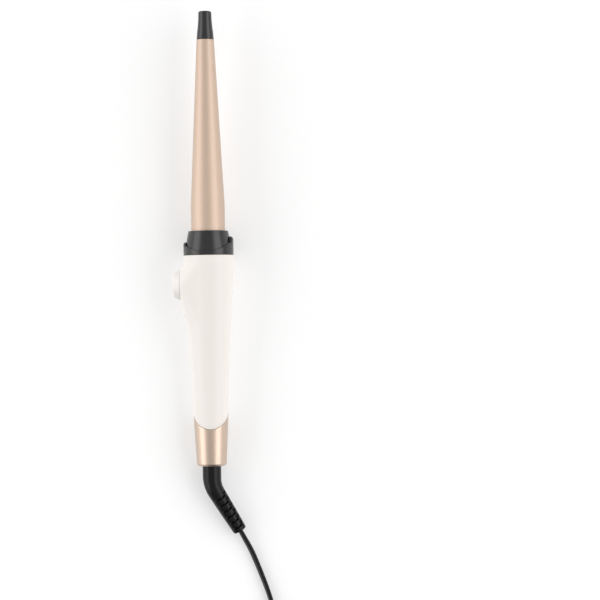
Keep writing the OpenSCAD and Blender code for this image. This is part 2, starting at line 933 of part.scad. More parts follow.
module power_resistors() {
    color("#7fa3a8")
    for (y = [-4, 0, 4])
        translate([-board_low + 1.2, y, board_foot + 42])
        union() {
            cylinder(r = 1.2, h = 6.4, $fn = 24);
            translate([0, 0, -1.6])
                cylinder(r = 0.3, h = 9.6, $fn = 16);
        }
}

led_t = 1.1;

module status_led() {
    color("#f4f1e4")
    on_board(1, lens_height - 1.6, 0, 3.2, 1.8, led_t);
}

// Light pipe from the light up to the handle's surface
module indicator_lens() {
    foot = board_high + led_t + 0.3;
    top = side_r(lens_height) + (pod_reach - side_r(lens_height)) * 0.41;
    wall_foot = side_r(lens_height) - handle_wall - 1.3;
    color("#f6e9d8")
    on_pod(lens_height) {
        translate([0, 0, foot])
            cylinder(r = 1.5, h = top - foot, $fn = 32);
        translate([0, 0, wall_foot])
            cylinder(r = 2.4, h = 1, $fn = 32);
    }
}

// ---------------------------------------------------------------- tail and swivel

module tail_sleeve() {
    edge = 2.2;
    floor_t = 1.9;
    color("#cdb39c")
    difference() {
        rotate_extrude()
            polygon(concat(
                [[0, 0]],
                arc(tail_r - edge + 0.1, edge, edge, -90, -3),
                [[nose_r, nose_height], [nose_r - sleeve_wall, nose_height],
                    [side_r(floor_t) - sleeve_wall, floor_t], [0, floor_t]]
            ));
        nose_wedge(-0.08);
        translate([0, 0, -1])
            cylinder(r = relief_r + 0.3, h = floor_t + 2);
    }
}

module swivel_spindle() {
    bore = 2.4;
    stub_r = 4;
    stub_foot = elbow_start;
    flange_top = swivel_foot + swivel_flange_t;
    color("#2c2c2e")
    rotate_extrude()
        polygon([
            [bore, stub_foot], [stub_r, stub_foot], [stub_r, swivel_foot], [swivel_flange_r, swivel_foot],
            [swivel_flange_r, flange_top], [journal_r, flange_top], [journal_r, flange_top + 2.4],
            [drum_r, flange_top + 2.4], [drum_r, drum_top - 2], [journal_r, drum_top - 2],
            [journal_r, drum_top], [bore, drum_top]
        ]);
}

module slip_rings() {
    color("#c8963e")
    for (z = ring_places)
        translate([0, 0, z])
        difference() {
            cylinder(r = ring_r, h = ring_h);
            translate([0, 0, -1])
                cylinder(r = drum_r, h = ring_h + 2);
        }
}

brush_t = 0.3;
brush_w = 2;
brush_x = ring_r + 0.06;
brush_start = -4;
brush_end = 5.4;
holder_y = 4;
holder_t = 1.2;

module brush_shapes() {
    for (z = ring_places)
        translate([brush_x, brush_start, z + (ring_h - brush_w) / 2])
        cube([brush_t, brush_end - brush_start, brush_w]);
}

module contact_brushes() {
    color("#d7a94b")
    brush_shapes();
}

module brush_holder() {
    color("#e3ddcf")
    difference() {
        translate([brush_x - 1.5, holder_y, swivel_foot + swivel_flange_t + 2])
            cube([2.1, holder_t, 12.5]);
        brush_shapes();
    }
}

// Two wires from the brushes' ends up to the board
module supply_leads() {
    y0 = brush_end + 0.55;
    z1 = ring_places[0] + ring_h / 2;
    z2 = ring_places[1] + ring_h / 2;
    color("#7b4a2d") {
        wire([
            [5, y0, z1], [3.3, 6.8, z1 + 3], [2.6, 6.6, 26], [0, 5, 40], [-3.8, 4, board_foot - 2],
            [-3.8, 4, board_foot - 0.02]
        ], 1.1, [1, 0, 0]);
        wire([
            [5, y0, z2], [4.9, 6, z2 + 6], [3, 1.5, 28], [-1, -2, 40], [-3.8, -4, board_foot - 2],
            [-3.8, -4, board_foot - 0.02]
        ], 1.1, [1, 0, 0]);
    }
}

// Centre line of the relief below the sleeve, bending towards +X
function relief_point(s) =
    let (bend_len = relief_bend_r * relief_bend * PI / 180, over = s - bend_len)
    s < bend_len
        ? let (a = s / relief_bend_r * 180 / PI)
            [relief_bend_r * (1 - cos(a)), 0, elbow_start - relief_bend_r * sin(a)]
        : [relief_bend_r * (1 - cos(relief_bend)) + over * sin(relief_bend), 0,
            elbow_start - relief_bend_r * sin(relief_bend) - over * cos(relief_bend)];

module cord_relief() {
    bend_len = relief_bend_r * relief_bend * PI / 180;
    total = bend_len + relief_len;
    bend_steps = 6;
    stations = concat(
        [0], [for (i = [1:bend_steps]) bend_len * i / bend_steps],
        [bend_len + relief_len * 0.5, total - 1.5, total - 0.5, total]);
    mid_r = relief_r * 0.92;
    radii = concat(
        [relief_r], [for (i = [1:bend_steps]) relief_r + (mid_r - relief_r) * i / bend_steps],
        [(mid_r + relief_end_r) / 2, relief_end_r, relief_end_r - 0.45, relief_end_r - 1.5]);
    path = [for (s = stations) relief_point(s)];
    first_slot = bend_len + relief_len - 4 - slot_pitch * (slot_count - 1);
    color("#1b1b1d")
    rotate([0, 0, relief_turn])
    difference() {
        union() {
            translate([0, 0, elbow_start])
                cylinder(r = relief_r, h = swivel_foot - elbow_start);
            sweep(path, radii, radii, [for (p = path) 0], [0, 1, 0], 32);
        }
        translate([0, 0, elbow_start - eps])
            cylinder(r = 4, h = swivel_foot - elbow_start + 1);
        for (i = [0:slot_count - 1]) {
            for (side = [-1, 1])
                flex_slot(first_slot + slot_pitch * i, [0, side * 5, 0], [7.2, 5, slot_w]);
            flex_slot(first_slot + slot_pitch * (i - 0.5), [5.2, 0, 0], [5, 4.6, slot_w]);
        }
    }
}

// A flexing slot cut across the relief at distance s along it
module flex_slot(s, offset, size) {
    translate(relief_point(s))
        rotate([0, -relief_bend, 0])
        translate(offset)
        cube(size, center = true);
}

// ---------------------------------------------------------------- cord and plug

module cord_tube(route) {
    path = [for (p = route) [p[0], p[1], p[2]]];
    sweep(path, [for (p = route) cord_t / 2], [for (p = route) cord_w / 2], [for (p = route) p[3]]);
}

module cord_lead() {
    color("#202022")
    cord_tube(lead_route);
}

module cord_tail() {
    color("#202022")
    cord_tube(tail_route);
}

module cord_coil() {
    color("#242426")
    translate([coil_x, coil_y, 0])
        rotate_extrude()
        translate([coil_inner, coil_foot])
        square([coil_outer - coil_inner, coil_top - coil_foot]);
}

module cord_tie() {
    tie_t = 0.7;
    tie_w = 4;
    room = 0.1;
    width = coil_outer - coil_inner + 2 * room + 2 * tie_t;
    height = coil_top + tie_t + room;
    color("#3a3a3c")
    translate([coil_x, coil_y, 0])
        rotate([0, 0, -110])
        translate([coil_inner - room - tie_t, -tie_w / 2, 0])
        difference() {
            cube([width, tie_w, height]);
            translate([tie_t, -1, tie_t])
                cube([width - 2 * tie_t, tie_w + 2, height - 2 * tie_t]);
        }
}

module plug_outline(r) {
    hull()
        for (side = [-1, 1])
            translate([side * (plug_w / 2 - r), 0])
            circle(r = r, $fn = 48);
}

module plug_body() {
    front = plug_rear - plug_tail_len - plug_len;
    color("#1d1d1f")
    difference() {
        union() {
            translate([plug_x, front, plug_z])
                rotate([-90, 0, 0])
                linear_extrude(12)
                plug_outline(plug_h / 2);
            hull() {
                translate([plug_x, front + 12, plug_z])
                    rotate([-90, 0, 0])
                    linear_extrude(0.1)
                    plug_outline(plug_h / 2 - 0.8);
                translate([plug_x, front + plug_len - 0.1, plug_z])
                    rotate([-90, 0, 0])
                    cylinder(r = 5, h = 0.1, $fn = 32);
            }
            translate([plug_x, front + plug_len - 0.1, plug_z])
                rotate([-90, 0, 0])
                cylinder(r1 = 5, r2 = 3.4, h = plug_tail_len + 0.1);
        }
        for (side = [-1, 1])
            translate([plug_x + side * pin_gap / 2, front - 1, plug_z])
            rotate([-90, 0, 0])
            cylinder(r = pin_core_r, h = 11, $fn = 32);
    }
}

module at_pins() {
    for (side = [-1, 1])
        translate([plug_x + side * pin_gap / 2, plug_rear - plug_tail_len - plug_len, plug_z])
        rotate([90, 0, 0])
        children();
}

sleeve_len = 10;
pin_core_r = pin_d / 2 - 0.25;

module plug_pins() {
    color("#c9ccd0")
    at_pins()
        rotate_extrude()
        polygon(concat(
            [[0, -10], [pin_core_r, -10], [pin_core_r, sleeve_len], [pin_d / 2, sleeve_len]],
            arc(pin_d / 2 - 1, pin_len - 1, 1, 0, 90), [[0, pin_len]]
        ));
}

module pin_sleeves() {
    foot = 0.5;
    color("#28282a")
    at_pins()
        rotate_extrude()
        translate([pin_core_r, foot])
        square([pin_d / 2 - pin_core_r, sleeve_len - foot]);
}

// ---------------------------------------------------------------- drawing

at_rest() barrel_tube();
at_rest() cool_tip();
at_rest() tip_cap();
at_rest() tip_screw();
at_rest() barrel_end_plug();
at_rest() heater_block_near();
at_rest() heater_block_far();
at_rest() ptc_heater();
at_rest() heater_spring();
at_rest() temperature_sensor();
at_rest() thermal_fuse();
at_rest() heater_leads();
at_rest() sensor_leads();
at_rest() insulating_disc();
at_rest() barrel_screws();
at_rest() collar_cone();
at_rest() guard_ring();
at_rest() handle_shell_near();
at_rest() handle_shell_far();
at_rest() shell_screws();
at_rest() screw_caps();
at_rest() power_button();
at_rest() switch_plunger();
at_rest() button_spring();
at_rest() tact_switch();
at_rest() circuit_board();
at_rest() control_chip();
at_rest() triac();
at_rest() film_capacitor();
at_rest() electrolytic_capacitor();
at_rest() power_resistors();
at_rest() status_led();
at_rest() indicator_lens();
at_rest() tail_sleeve();
at_rest() swivel_spindle();
at_rest() slip_rings();
at_rest() contact_brushes();
at_rest() brush_holder();
at_rest() supply_leads();
at_rest() cord_relief();
on_cord() cord_lead();
on_cord() cord_coil();
on_cord() cord_tail();
on_cord() cord_tie();
on_cord() plug_body();
on_cord() plug_pins();
on_cord() pin_sleeves();
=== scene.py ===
# %% [markdown]
# # A conical curling wand
#
# A curling wand is a heated aluminium cone on a plastic handle. Hair is wrapped round the cone, so
# the cone wears a smooth coating, its tip stays cool enough to hold, and a collar keeps the fingers
# away from the heat. A round power button sits on a raised pod on the side of the handle, and a
# swivel at the tail lets the mains cord turn freely.
#
# The engineering model is loaded first and is never moved. Every piece below is modelled around it,
# in metres and in the same frame, so nothing has to be fitted afterwards.

# %% Load the engineering model
import json
import math

import bpy
from mathutils import Matrix, Vector
from mathutils.bvhtree import BVHTree


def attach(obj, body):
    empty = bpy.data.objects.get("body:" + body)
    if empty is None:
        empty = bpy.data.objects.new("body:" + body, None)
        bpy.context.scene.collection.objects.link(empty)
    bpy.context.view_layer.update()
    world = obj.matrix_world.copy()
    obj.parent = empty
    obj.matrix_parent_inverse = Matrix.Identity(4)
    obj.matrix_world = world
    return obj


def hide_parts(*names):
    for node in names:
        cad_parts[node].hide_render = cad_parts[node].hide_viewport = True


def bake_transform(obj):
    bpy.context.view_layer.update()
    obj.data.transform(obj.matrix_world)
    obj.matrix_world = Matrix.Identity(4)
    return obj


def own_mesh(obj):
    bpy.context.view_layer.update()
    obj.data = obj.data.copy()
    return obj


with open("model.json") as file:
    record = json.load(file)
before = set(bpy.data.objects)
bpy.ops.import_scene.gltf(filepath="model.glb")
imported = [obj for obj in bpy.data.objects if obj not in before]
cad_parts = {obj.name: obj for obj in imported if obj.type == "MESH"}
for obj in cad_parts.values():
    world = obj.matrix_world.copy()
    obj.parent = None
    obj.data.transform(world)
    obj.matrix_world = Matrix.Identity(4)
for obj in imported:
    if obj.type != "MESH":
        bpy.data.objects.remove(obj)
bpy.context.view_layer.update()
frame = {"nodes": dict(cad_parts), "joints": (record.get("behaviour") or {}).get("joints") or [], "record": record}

# %% [markdown]
# ## The wand's own frame
#
# The wand lies on a table, tipped slightly by its tapered handle. Modelling a tilted thing is
# awkward, so each of its pieces is modelled standing upright on the origin: Z runs from the tail to
# the tip, the button is on -X and the side that faces up when it lies down is -Y. The swivel's joint
# already says where the wand's axis is and how it points, so one matrix made from it lays a finished
# piece down.

# %% The matrix that lays an upright piece down
MM = 0.001
swivel = next(j for j in frame["joints"] if j["name"] == "cord_swivel")
tail_end = Vector(swivel["pos_m"])
along = -Vector(swivel["axis"]).normalized()
side = Vector((1, 0, 0))
back = along.cross(side).normalized()


def axes(x, y, z):
    """A matrix that turns the X, Y and Z axes to three directions."""
    return Matrix((x, y, z)).transposed().to_4x4()


LAY = Matrix.Translation(tail_end) @ axes(side, back, along)
print("the wand rises towards its tip by", round(math.degrees(math.asin(along.z)), 2), "degrees")


def lying(x, y, z):
    """A point given upright in millimetres, where it ends up on the lying wand, in metres."""
    return LAY @ (Vector((x, y, z)) * MM)


# %% [markdown]
# ## The camera
#
# The wand is seen from straight above its axis, from about one and a half metres with a long lens,
# so its sides look almost parallel. The camera's picture is level with a line that leans just under
# a degree from the axis.

# %% Camera
LEAN = math.radians(0.9)
DISTANCE, LENS, SENSOR = 1.5684, 127.6, 36
AIM_HEIGHT, AIM_RIGHT = 122.2, 0.0669
right = side * math.cos(LEAN) - along * math.sin(LEAN)
up = along * math.cos(LEAN) + side * math.sin(LEAN)
towards_camera = right.cross(up)
aim = lying(0, 0, AIM_HEIGHT) + right * AIM_RIGHT
bpy.ops.object.camera_add()
camera = bpy.context.object
camera.name = "camera"
eye = aim + towards_camera * DISTANCE
camera.matrix_world = Matrix.Translation(eye) @ axes(right, up, towards_camera)
camera.data.lens = LENS
camera.data.sensor_width = SENSOR
bpy.context.scene.camera = camera
print("camera at", [round(c, 3) for c in eye])

# %% [markdown]
# ## Helpers for modelling
#
# An operator works on everything that is selected, so each piece starts from an empty selection.
# Most of the wand is turned, as on a lathe: a circle is added at the first station of a profile, then
# extruded and scaled from station to station. The profile's corners are rounded beforehand, because
# a real moulding has no sharp edge and a rounded one catches the light.

# %% Selecting, joining and finishing
def nothing_selected():
    if bpy.context.object and bpy.context.object.mode != "OBJECT":
        bpy.ops.object.mode_set(mode="OBJECT")
    bpy.ops.object.select_all(action="DESELECT")


def only(piece):
    nothing_selected()
    piece.select_set(True)
    bpy.context.view_layer.objects.active = piece


def named(name):
    """Names the primitive that was just added."""
    piece = bpy.context.object
    piece.name = piece.data.name = name
    return piece


def apply_place(piece, matrix=None):
    """Moves an object's place into its mesh, so that the object itself sits at the origin."""
    only(piece)
    if matrix is not None:
        piece.matrix_world = matrix @ piece.matrix_world
    bpy.ops.object.transform_apply(location=True, rotation=True, scale=True)


def clean_mesh(piece, merge=1e-6):
    """Merges doubled points and points every face outwards."""
    only(piece)
    bpy.ops.object.mode_set(mode="EDIT")
    bpy.ops.mesh.select_all(action="SELECT")
    bpy.ops.mesh.remove_doubles(threshold=merge)
    bpy.ops.mesh.normals_make_consistent(inside=False)
    bpy.ops.object.mode_set(mode="OBJECT")


def edit_all(piece, operator):
    """Runs one edit-mode operator on a whole mesh."""
    only(piece)
    bpy.ops.object.mode_set(mode="EDIT")
    bpy.ops.mesh.select_all(action="SELECT")
    operator()
    bpy.ops.object.mode_set(mode="OBJECT")


def turn_outwards(piece):
    """Turns a closed skin over if it is inside out, which its volume's sign tells."""
    piece.data.calc_loop_triangles()
    spots = [vertex.co for vertex in piece.data.vertices]
    corners = [triangle.vertices for triangle in piece.data.loop_triangles]
    if sum(spots[a].dot(spots[b].cross(spots[c])) for a, b, c in corners) < 0:
        edit_all(piece, bpy.ops.mesh.flip_normals)


def smooth(piece, angle=35):
    only(piece)
    bpy.ops.object.shade_smooth_by_angle(angle=math.radians(angle))


def modify(piece, kind, **settings):
    """Adds a modifier and applies it at once."""
    only(piece)
    modifier = piece.modifiers.new(kind.lower(), kind)
    for key, value in settings.items():
        setattr(modifier, key, value)
    bpy.ops.object.modifier_apply(modifier=modifier.name)


def cut(piece, cutter):
    """Takes one closed shape out of another."""
    modify(piece, "BOOLEAN", operation="DIFFERENCE", solver="EXACT", object=cutter)
    bpy.data.objects.remove(cutter)


def join_into(piece, addition):
    """Makes a second shape part of a piece."""
    only(addition)
    piece.select_set(True)
    bpy.context.view_layer.objects.active = piece
    bpy.ops.object.join()


dressed = []


def hand_over(piece, node, slot, body, place=LAY, angle=35):
    apply_place(piece, place)
    smooth(piece, angle)
    if node:
        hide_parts(node)
    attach(piece, body)
    dressed.append((piece, slot))
    size = [round(length / MM, 1) for length in piece.dimensions]
    print(piece.name, "for", node, "on", body, "size in mm:", size, "faces:", len(piece.data.polygons))


# %% Profiles and turning
def rounded(points, steps=4):
    """A profile of (radius, height) stations in which a third number rounds that corner."""
    path = []
    for i, point in enumerate(points):
        here = Vector(point[:2])
        fillet = point[2] if len(point) > 2 else 0
        if not fillet or i in (0, len(points) - 1):
            path.append(here)
            continue
        before = (Vector(points[i - 1][:2]) - here).normalized()
        after = (Vector(points[i + 1][:2]) - here).normalized()
        half = before.angle(after) / 2
        reach = fillet / math.tan(half)
        centre = here + (before + after).normalized() * fillet / math.sin(half)
        first, last = here + before * reach - centre, here + after * reach - centre
        path += [centre + first.slerp(last, k / steps).normalized() * fillet for k in range(steps + 1)]
    return [(max(p.x, 0.02), p.y) for p in path]


def turned(name, profile, segments=96, caps=(False, False), loop=False):
    """Turns a profile in millimetres into an upright solid or, with loop, into a closed ring."""
    nothing_selected()
    stations = profile + [profile[0]] if loop else profile
    radius, height = stations[0]
    bpy.ops.mesh.primitive_circle_add(
        vertices=segments, radius=radius * MM, location=(0, 0, height * MM),
        fill_type="NGON" if caps[0] else "NOTHING",
    )
    piece = named(name)
    apply_place(piece)
    bpy.ops.object.mode_set(mode="EDIT")
    bpy.ops.mesh.select_all(action="SELECT")
    for (r0, z0), (r1, z1) in zip(stations, stations[1:]):
        bpy.ops.mesh.extrude_edges_move(TRANSFORM_OT_translate={"value": (0, 0, (z1 - z0) * MM)})
        if abs(r1 - r0) > 1e-9:
            bpy.ops.transform.resize(value=(r1 / r0, r1 / r0, 1), center_override=(0, 0, z1 * MM))
    if caps[1]:
        bpy.ops.mesh.edge_face_add()
    clean_mesh(piece)
    return piece


def wrapped(name, columns, rows, place):
    """Bends a flat grid: place(u, v) gives a point in millimetres for u and v from 0 to 1."""
    nothing_selected()
    bpy.ops.mesh.primitive_grid_add(x_subdivisions=columns, y_subdivisions=rows, size=1)
    piece = named(name)
    for vertex in piece.data.vertices:
        u, v = vertex.co.x + 0.5, vertex.co.y + 0.5
        vertex.co = Vector(place(u, v)) * MM
    clean_mesh(piece, 1e-7)
    return piece


def ringed(name, columns, section):
    """Wraps a closed outline round the axis: section(angle) gives its (radius, height) points."""
    outlines = [section(2 * math.pi * k / columns) for k in range(columns + 1)]
    rows = len(outlines[0]) - 1

    def place(u, v):
        angle = 2 * math.pi * u
        r, z = outlines[round(u * columns)][round(v * rows)]
        return r * math.cos(angle), r * math.sin(angle), z

    return wrapped(name, columns, rows, place)


def between(stations, at):
    """The second number at a place in a list of pairs, in straight steps from pair to pair."""
    for (s0, r0), (s1, r1) in zip(stations, stations[1:]):
        if at <= s1:
            return r0 + (r1 - r0) * (at - s0) / (s1 - s0)
    return stations[-1][1]


def ease(x, low, high):
    """0 below low, 1 above high and a smooth climb between them."""
    t = min(max((x - low) / (high - low), 0), 1)
    return t * t * (3 - 2 * t)


# %% [markdown]
# ## The cord's route
#
# A mains cord has a fixed length. This one is a flat two-core flex 5.2 mm wide and 3.2 mm thick, and
# 1.8 m long. It leaves its moulded relief, runs loosely over the table, and the rest is wound into a
# neat round coil of two layers, standing on its edge so that the turns lie side by side. Its last
# stretch crosses the coil's top to the plug, which lies on the coil.
#
# The route is a list of points with a twist at each. The straight and looping stretches are listed,
# and the coil is worked out as a spiral that winds in, climbs, and winds out again.

# %% Cord sizes and the relief's centre line
CORD_W, CORD_T = 5.2, 3.2
RELIEF_TURN = 9
BEND, BEND_R, BEND_START, RELIEF_LEN = 31, 22, -8.5, 33.5
BEND_LEN = BEND_R * math.radians(BEND)
RELIEF_END = BEND_LEN + RELIEF_LEN


def relief_centre(s):
    """Centre line of the relief, s millimetres past the start of its bend, and its heading."""
    a = math.radians(BEND) if s > BEND_LEN else max(s, 0) / BEND_R
    past = s - BEND_LEN if s > BEND_LEN else min(s, 0)
    heading = Vector((math.sin(a), 0, -math.cos(a)))
    corner = Vector((BEND_R * (1 - math.cos(a)), 0, BEND_START - BEND_R * math.sin(a)))
    return corner + heading * past, heading


RELIEF_SET = LAY @ Matrix.Rotation(math.radians(RELIEF_TURN), 4, "Z")


def relief_point(s):
    """A point of the relief's centre line on the lying wand, in millimetres."""
    return (RELIEF_SET @ (relief_centre(s)[0] * MM)) / MM


cord_exit = relief_point(RELIEF_END) * MM
print("the cord leaves its relief at", [round(c, 4) for c in cord_exit])

# %% The route itself, as (x, y, z, twist)
LEAD = [
    (25.2, -197.6, 4.3, 25), (28.8, -204.4, 3.3, 28), (31.8, -211.3, 2.9, 28), (34.5, -218.0, 2.8, 26),
    (37.1, -224.7, 2.8, 24), (39.7, -231.7, 2.7, 22), (42.6, -240.5, 2.7, 18), (45.4, -250.5, 2.7, 12),
    (47.8, -261.0, 2.8, 6), (49.8, -272.0, 3.2, 0), (50.7, -281.0, 3.5, 0),
]
TAIL = [
    (-21.8, -287.0, 10.8, 0), (-21.0, -278.0, 13, 0), (-18.0, -270.4, 14.3, 0), (-13.0, -264.2, 14.3, 0),
    (-6.4, -260.0, 14.3, 0), (1.4, -258.0, 14.3, 0), (9.2, -259.0, 14.6, 0), (16.0, -262.6, 15.4, 0),
    (21.0, -267.6, 16.6, 0), (23.9, -273.6, 17.8, 0), (24.6, -278.0, 18.4, 0), (24.6, -281.5, 18.45, 0),
    (24.6, -285.0, 18.45, 0),
]
COIL_X, COIL_Y = 14.0, -286.0
COIL_OUT, COIL_PITCH = 35.3, 3.3
LAYER_LOW, LAYER_HIGH = 3.4, 8.8
ENTRY, LEAVE = 7.8, 200 - 9 * 360
SETTLE, CLIMB = 70, 90
LEAD_IN = 1.74


def coil_points(step=10):
    """The coil, clockwise from above: outside to inside, up, and back to the outside."""
    sweep = ENTRY - LEAVE
    wind = (sweep - SETTLE - CLIMB) / 2
    inner = COIL_OUT - COIL_PITCH * wind / 360
    points = []
    for k in range(1, int(sweep / step)):
        turned_by = k * step
        inward = min(max(turned_by - SETTLE, 0), wind)
        outward = max(turned_by - SETTLE - wind - CLIMB, 0)
        r = COIL_OUT - COIL_PITCH * (inward - outward) / 360
        r += LEAD_IN * (1 - ease(turned_by, 0, SETTLE))
        climbed = ease(turned_by, SETTLE + wind, SETTLE + wind + CLIMB)
        z = LAYER_LOW + (LAYER_HIGH - LAYER_LOW) * climbed
        a = math.radians(ENTRY - turned_by)
        points.append((COIL_X + r * math.cos(a), COIL_Y + r * math.sin(a), z, 0))
    print("coil: turns", round(sweep / 360, 2), "inner radius of its centre line", round(inner, 2), "mm")
    return points


start = [(*relief_point(RELIEF_END - back_by), 20) for back_by in (8, 4, 0)]
controls = [Vector(p) for p in start + LEAD + coil_points() + TAIL]


# %% A smooth line through the points
def through(points, step=2.4):
    """A Catmull-Rom line through points, cut into pieces of nearly equal length."""
    line = []
    for i in range(len(points) - 1):
        p0, p1 = points[max(i - 1, 0)], points[i]
        p2, p3 = points[i + 1], points[min(i + 2, len(points) - 1)]
        pieces = max(1, round((p2 - p1).length / step))
        for k in range(pieces):
            t = k / pieces
            line.append(0.5 * (
                2 * p1 + (p2 - p0) * t + (2 * p0 - 5 * p1 + 4 * p2 - p3) * t * t
                + (3 * p1 - p0 - 3 * p2 + p3) * t * t * t
            ))
    return line + [points[-1]]


cord_line = through(controls)
cord_path = [Vector(p[:3]) * MM for p in cord_line]
run = sum((b - a).length for a, b in zip(cord_path, cord_path[1:]))
print("cord route:", len(cord_path), "points,", round(run, 3), "m")


# %% [markdown]
# ## The cord
#
# The flex has two cores side by side, so its outline is a figure of eight with a shallow groove along
# each flat side. The outline is set across the route at every point and the rings are joined into one
# closed tube.

# %% Flex outline and tube
def flex_outline(count=24):
    """Figure of eight, thin across and wide along its second number, in millimetres."""
    outline = []
    reach = (CORD_W - CORD_T) / 2
    for k in range(count):
        a = 2 * math.pi * k / count
        across, wide = math.cos(a), math.sin(a)
        waist = 1 - 0.22 * math.exp(-((wide / 0.26) ** 2))
        core = reach * max(-1, min(1, wide * 1.6))
        outline.append((across * CORD_T / 2 * waist, wide * CORD_T / 2 + core))
    return outline


def tube(name, line, outline):
    """A closed tube: each ring of points stands across the line, its wide side near upright."""
    points, faces = [], []
    count = len(outline)
    for i, here in enumerate(line):
        heading = Vector((line[min(i + 1, len(line) - 1)] - line[max(i - 1, 0)])[:3]).normalized()
        flat = heading.cross(Vector((0, 0, 1))).normalized()
        tall = flat.cross(heading)
        twist = math.radians(here[3])
        thin = flat * math.cos(twist) + tall * math.sin(twist)
        wide = tall * math.cos(twist) - flat * math.sin(twist)
        points += [(Vector(here[:3]) + thin * a + wide * b) * MM for a, b in outline]
    for i in range(len(line) - 1):
        for k in range(count):
            n = (k + 1) % count
            faces.append((i * count + k, i * count + n, (i + 1) * count + n, (i + 1) * count + k))
    faces.append(tuple(reversed(range(count))))
    faces.append(tuple((len(line) - 1) * count + k for k in range(count)))
    mesh = bpy.data.meshes.new(name)
    mesh.from_pydata(points, [], faces)
    piece = bpy.data.objects.new(name, mesh)
    bpy.context.scene.collection.objects.link(piece)
    clean_mesh(piece, 1e-8)
    smooth(piece, 60)
    return piece


mains_cord = tube("mains_cord", cord_line, flex_outline())
print("mains_cord:", len(mains_cord.data.polygons), "faces")

# %% [markdown]
# ## The barrel
#
# The barrel is a spun aluminium tube: a short straight stretch above the collar, a long cone, and a
# flange at its foot that three screws hold inside the collar. It is turned from a closed profile, out
# along the outer wall and back along the inner one, so the tube has a real wall. The place where the
# straight stretch turns into the cone is rounded with a large radius, as spinning leaves it.

# %% Barrel, with the stations along the wand in millimetres from the tail
FOOT, FOOT_TOP, FLANGE_R = 151.2, 152.4, 15.9
HANDLE_TOP = 155.2
NECK_TOP = 157.8
COLLAR_TOP = 173.1
CONE_START = 192.1
BARREL_END = 314.1
WAND_END = 335.1
BARREL_R, TIP_R, WALL = 12.5, 6.5, 1.3

barrel = turned("barrel", rounded([
    (BARREL_R - WALL, FOOT), (FLANGE_R, FOOT, 0.2), (FLANGE_R, FOOT_TOP, 0.2), (BARREL_R, FOOT_TOP),
    (BARREL_R, CONE_START, 60), (TIP_R, BARREL_END, 0.35), (TIP_R - WALL, BARREL_END, 0.2),
    (BARREL_R - WALL, CONE_START), (BARREL_R - WALL, 160),
], steps=8), segments=128, loop=True)
hand_over(barrel, "barrel_tube", "champagne_coating", "wand")

# %% [markdown]
# ## The cool tip
#
# The tip is moulded in a plastic that stands the heat. It narrows in a soft hollow curve to a flat
# rounded end, so two fingers can steady it. A thin groove separates it from the barrel, and it hides
# a screw under a small cap, so its end has a hole for that cap.

# %% Cool tip
cool_tip = turned("cool_tip", rounded([
    (1.6, 307), (5.1, 307, 0.2), (5.1, BARREL_END), (6.0, BARREL_END + 0.02), (6.0, BARREL_END + 0.3),
    (6.36, BARREL_END + 0.34, 0.12), (6.28, 315.4), (5.92, 319.9, 6), (5.5, 322.8, 8), (5.24, 325.7, 8),
    (5.0, 328.7, 8), (4.88, 331.6), (4.84, WAND_END, 1.3), (2.66, WAND_END, 0.12), (2.66, WAND_END - 8),
    (1.6, WAND_END - 8),
], steps=6), segments=96, loop=True)
hand_over(cool_tip, "cool_tip", "charcoal_plastic", "wand")

# %% [markdown]
# ## The collar
#
# The collar is a short cone of the same dark plastic. Its flat top rim keeps the fingers off the
# barrel, and its foot has a lip that the two handle shells trap.

# %% Collar
collar = turned("collar", rounded([
    (12.6, FOOT_TOP), (16.95, FOOT_TOP, 0.2), (16.95, 154.2, 0.2), (15.85, 154.2), (15.85, NECK_TOP),
    (17.6, NECK_TOP, 0.2), (14.65, COLLAR_TOP, 0.55), (12.6, COLLAR_TOP, 0.25),
], steps=6), segments=128, loop=True)
hand_over(collar, "collar_cone", "charcoal_plastic", "wand")

# %% [markdown]
# ## The guard ring
#
# The ring slips over the collar's foot. Its top edge dips in a saddle on the two flat-lying sides and
# rises to an ear on each of the other two, the taller one opposite the button, so a finger that
# slides up meets a wall. The height of the edge depends only on the place around the ring, so the
# ring's cross-section is wrapped round the axis with that height worked out for every column.

# %% Guard ring
HANDLE_R = 18.45
SADDLE_R, SADDLE_X, SADDLE_LOW = 33.2, -1.9, 158.2
EAR_LOW, EAR_HIGH = 165.0, 169.0
EAR_FROM, EAR_TO = 16.8, 18.4
RING_FOOT, RING_R, COLLAR_SLOPE = 155.25, 17.85, 0.193


def ring_top(x):
    saddle = SADDLE_LOW + SADDLE_R - math.sqrt(SADDLE_R ** 2 - (x - SADDLE_X) ** 2)
    ear = (EAR_LOW + EAR_HIGH) / 2 + (EAR_HIGH - EAR_LOW) / 2 * x / HANDLE_R
    return saddle + (ear - saddle) * ease(abs(x), EAR_FROM, EAR_TO)


def ring_section(x):
    """The ring's closed outline where its outer wall is x from the middle plane."""
    top = ring_top(x)
    outer = min(0.35 + 0.5 * max(top - 160.5, 0), 2.9)
    inner = RING_R - COLLAR_SLOPE * (top - NECK_TOP)
    soft = min(0.3, (HANDLE_R - inner) * 0.35)
    outer = min(outer, HANDLE_R - inner - soft - 0.05)
    return rounded([
        (17.75, 156.4), (17.75, RING_FOOT, 0.15), (HANDLE_R, RING_FOOT, 0.22), (HANDLE_R, top, outer),
        (inner, top, soft), (RING_R, NECK_TOP + 0.02), (17.75, NECK_TOP), (17.75, 156.4),
    ], steps=7)


guard_ring = ringed("guard_ring_skin", 480, lambda angle: ring_section(HANDLE_R * math.cos(angle)))
turn_outwards(guard_ring)
hand_over(guard_ring, "guard_ring", "charcoal_plastic", "wand", angle=50)

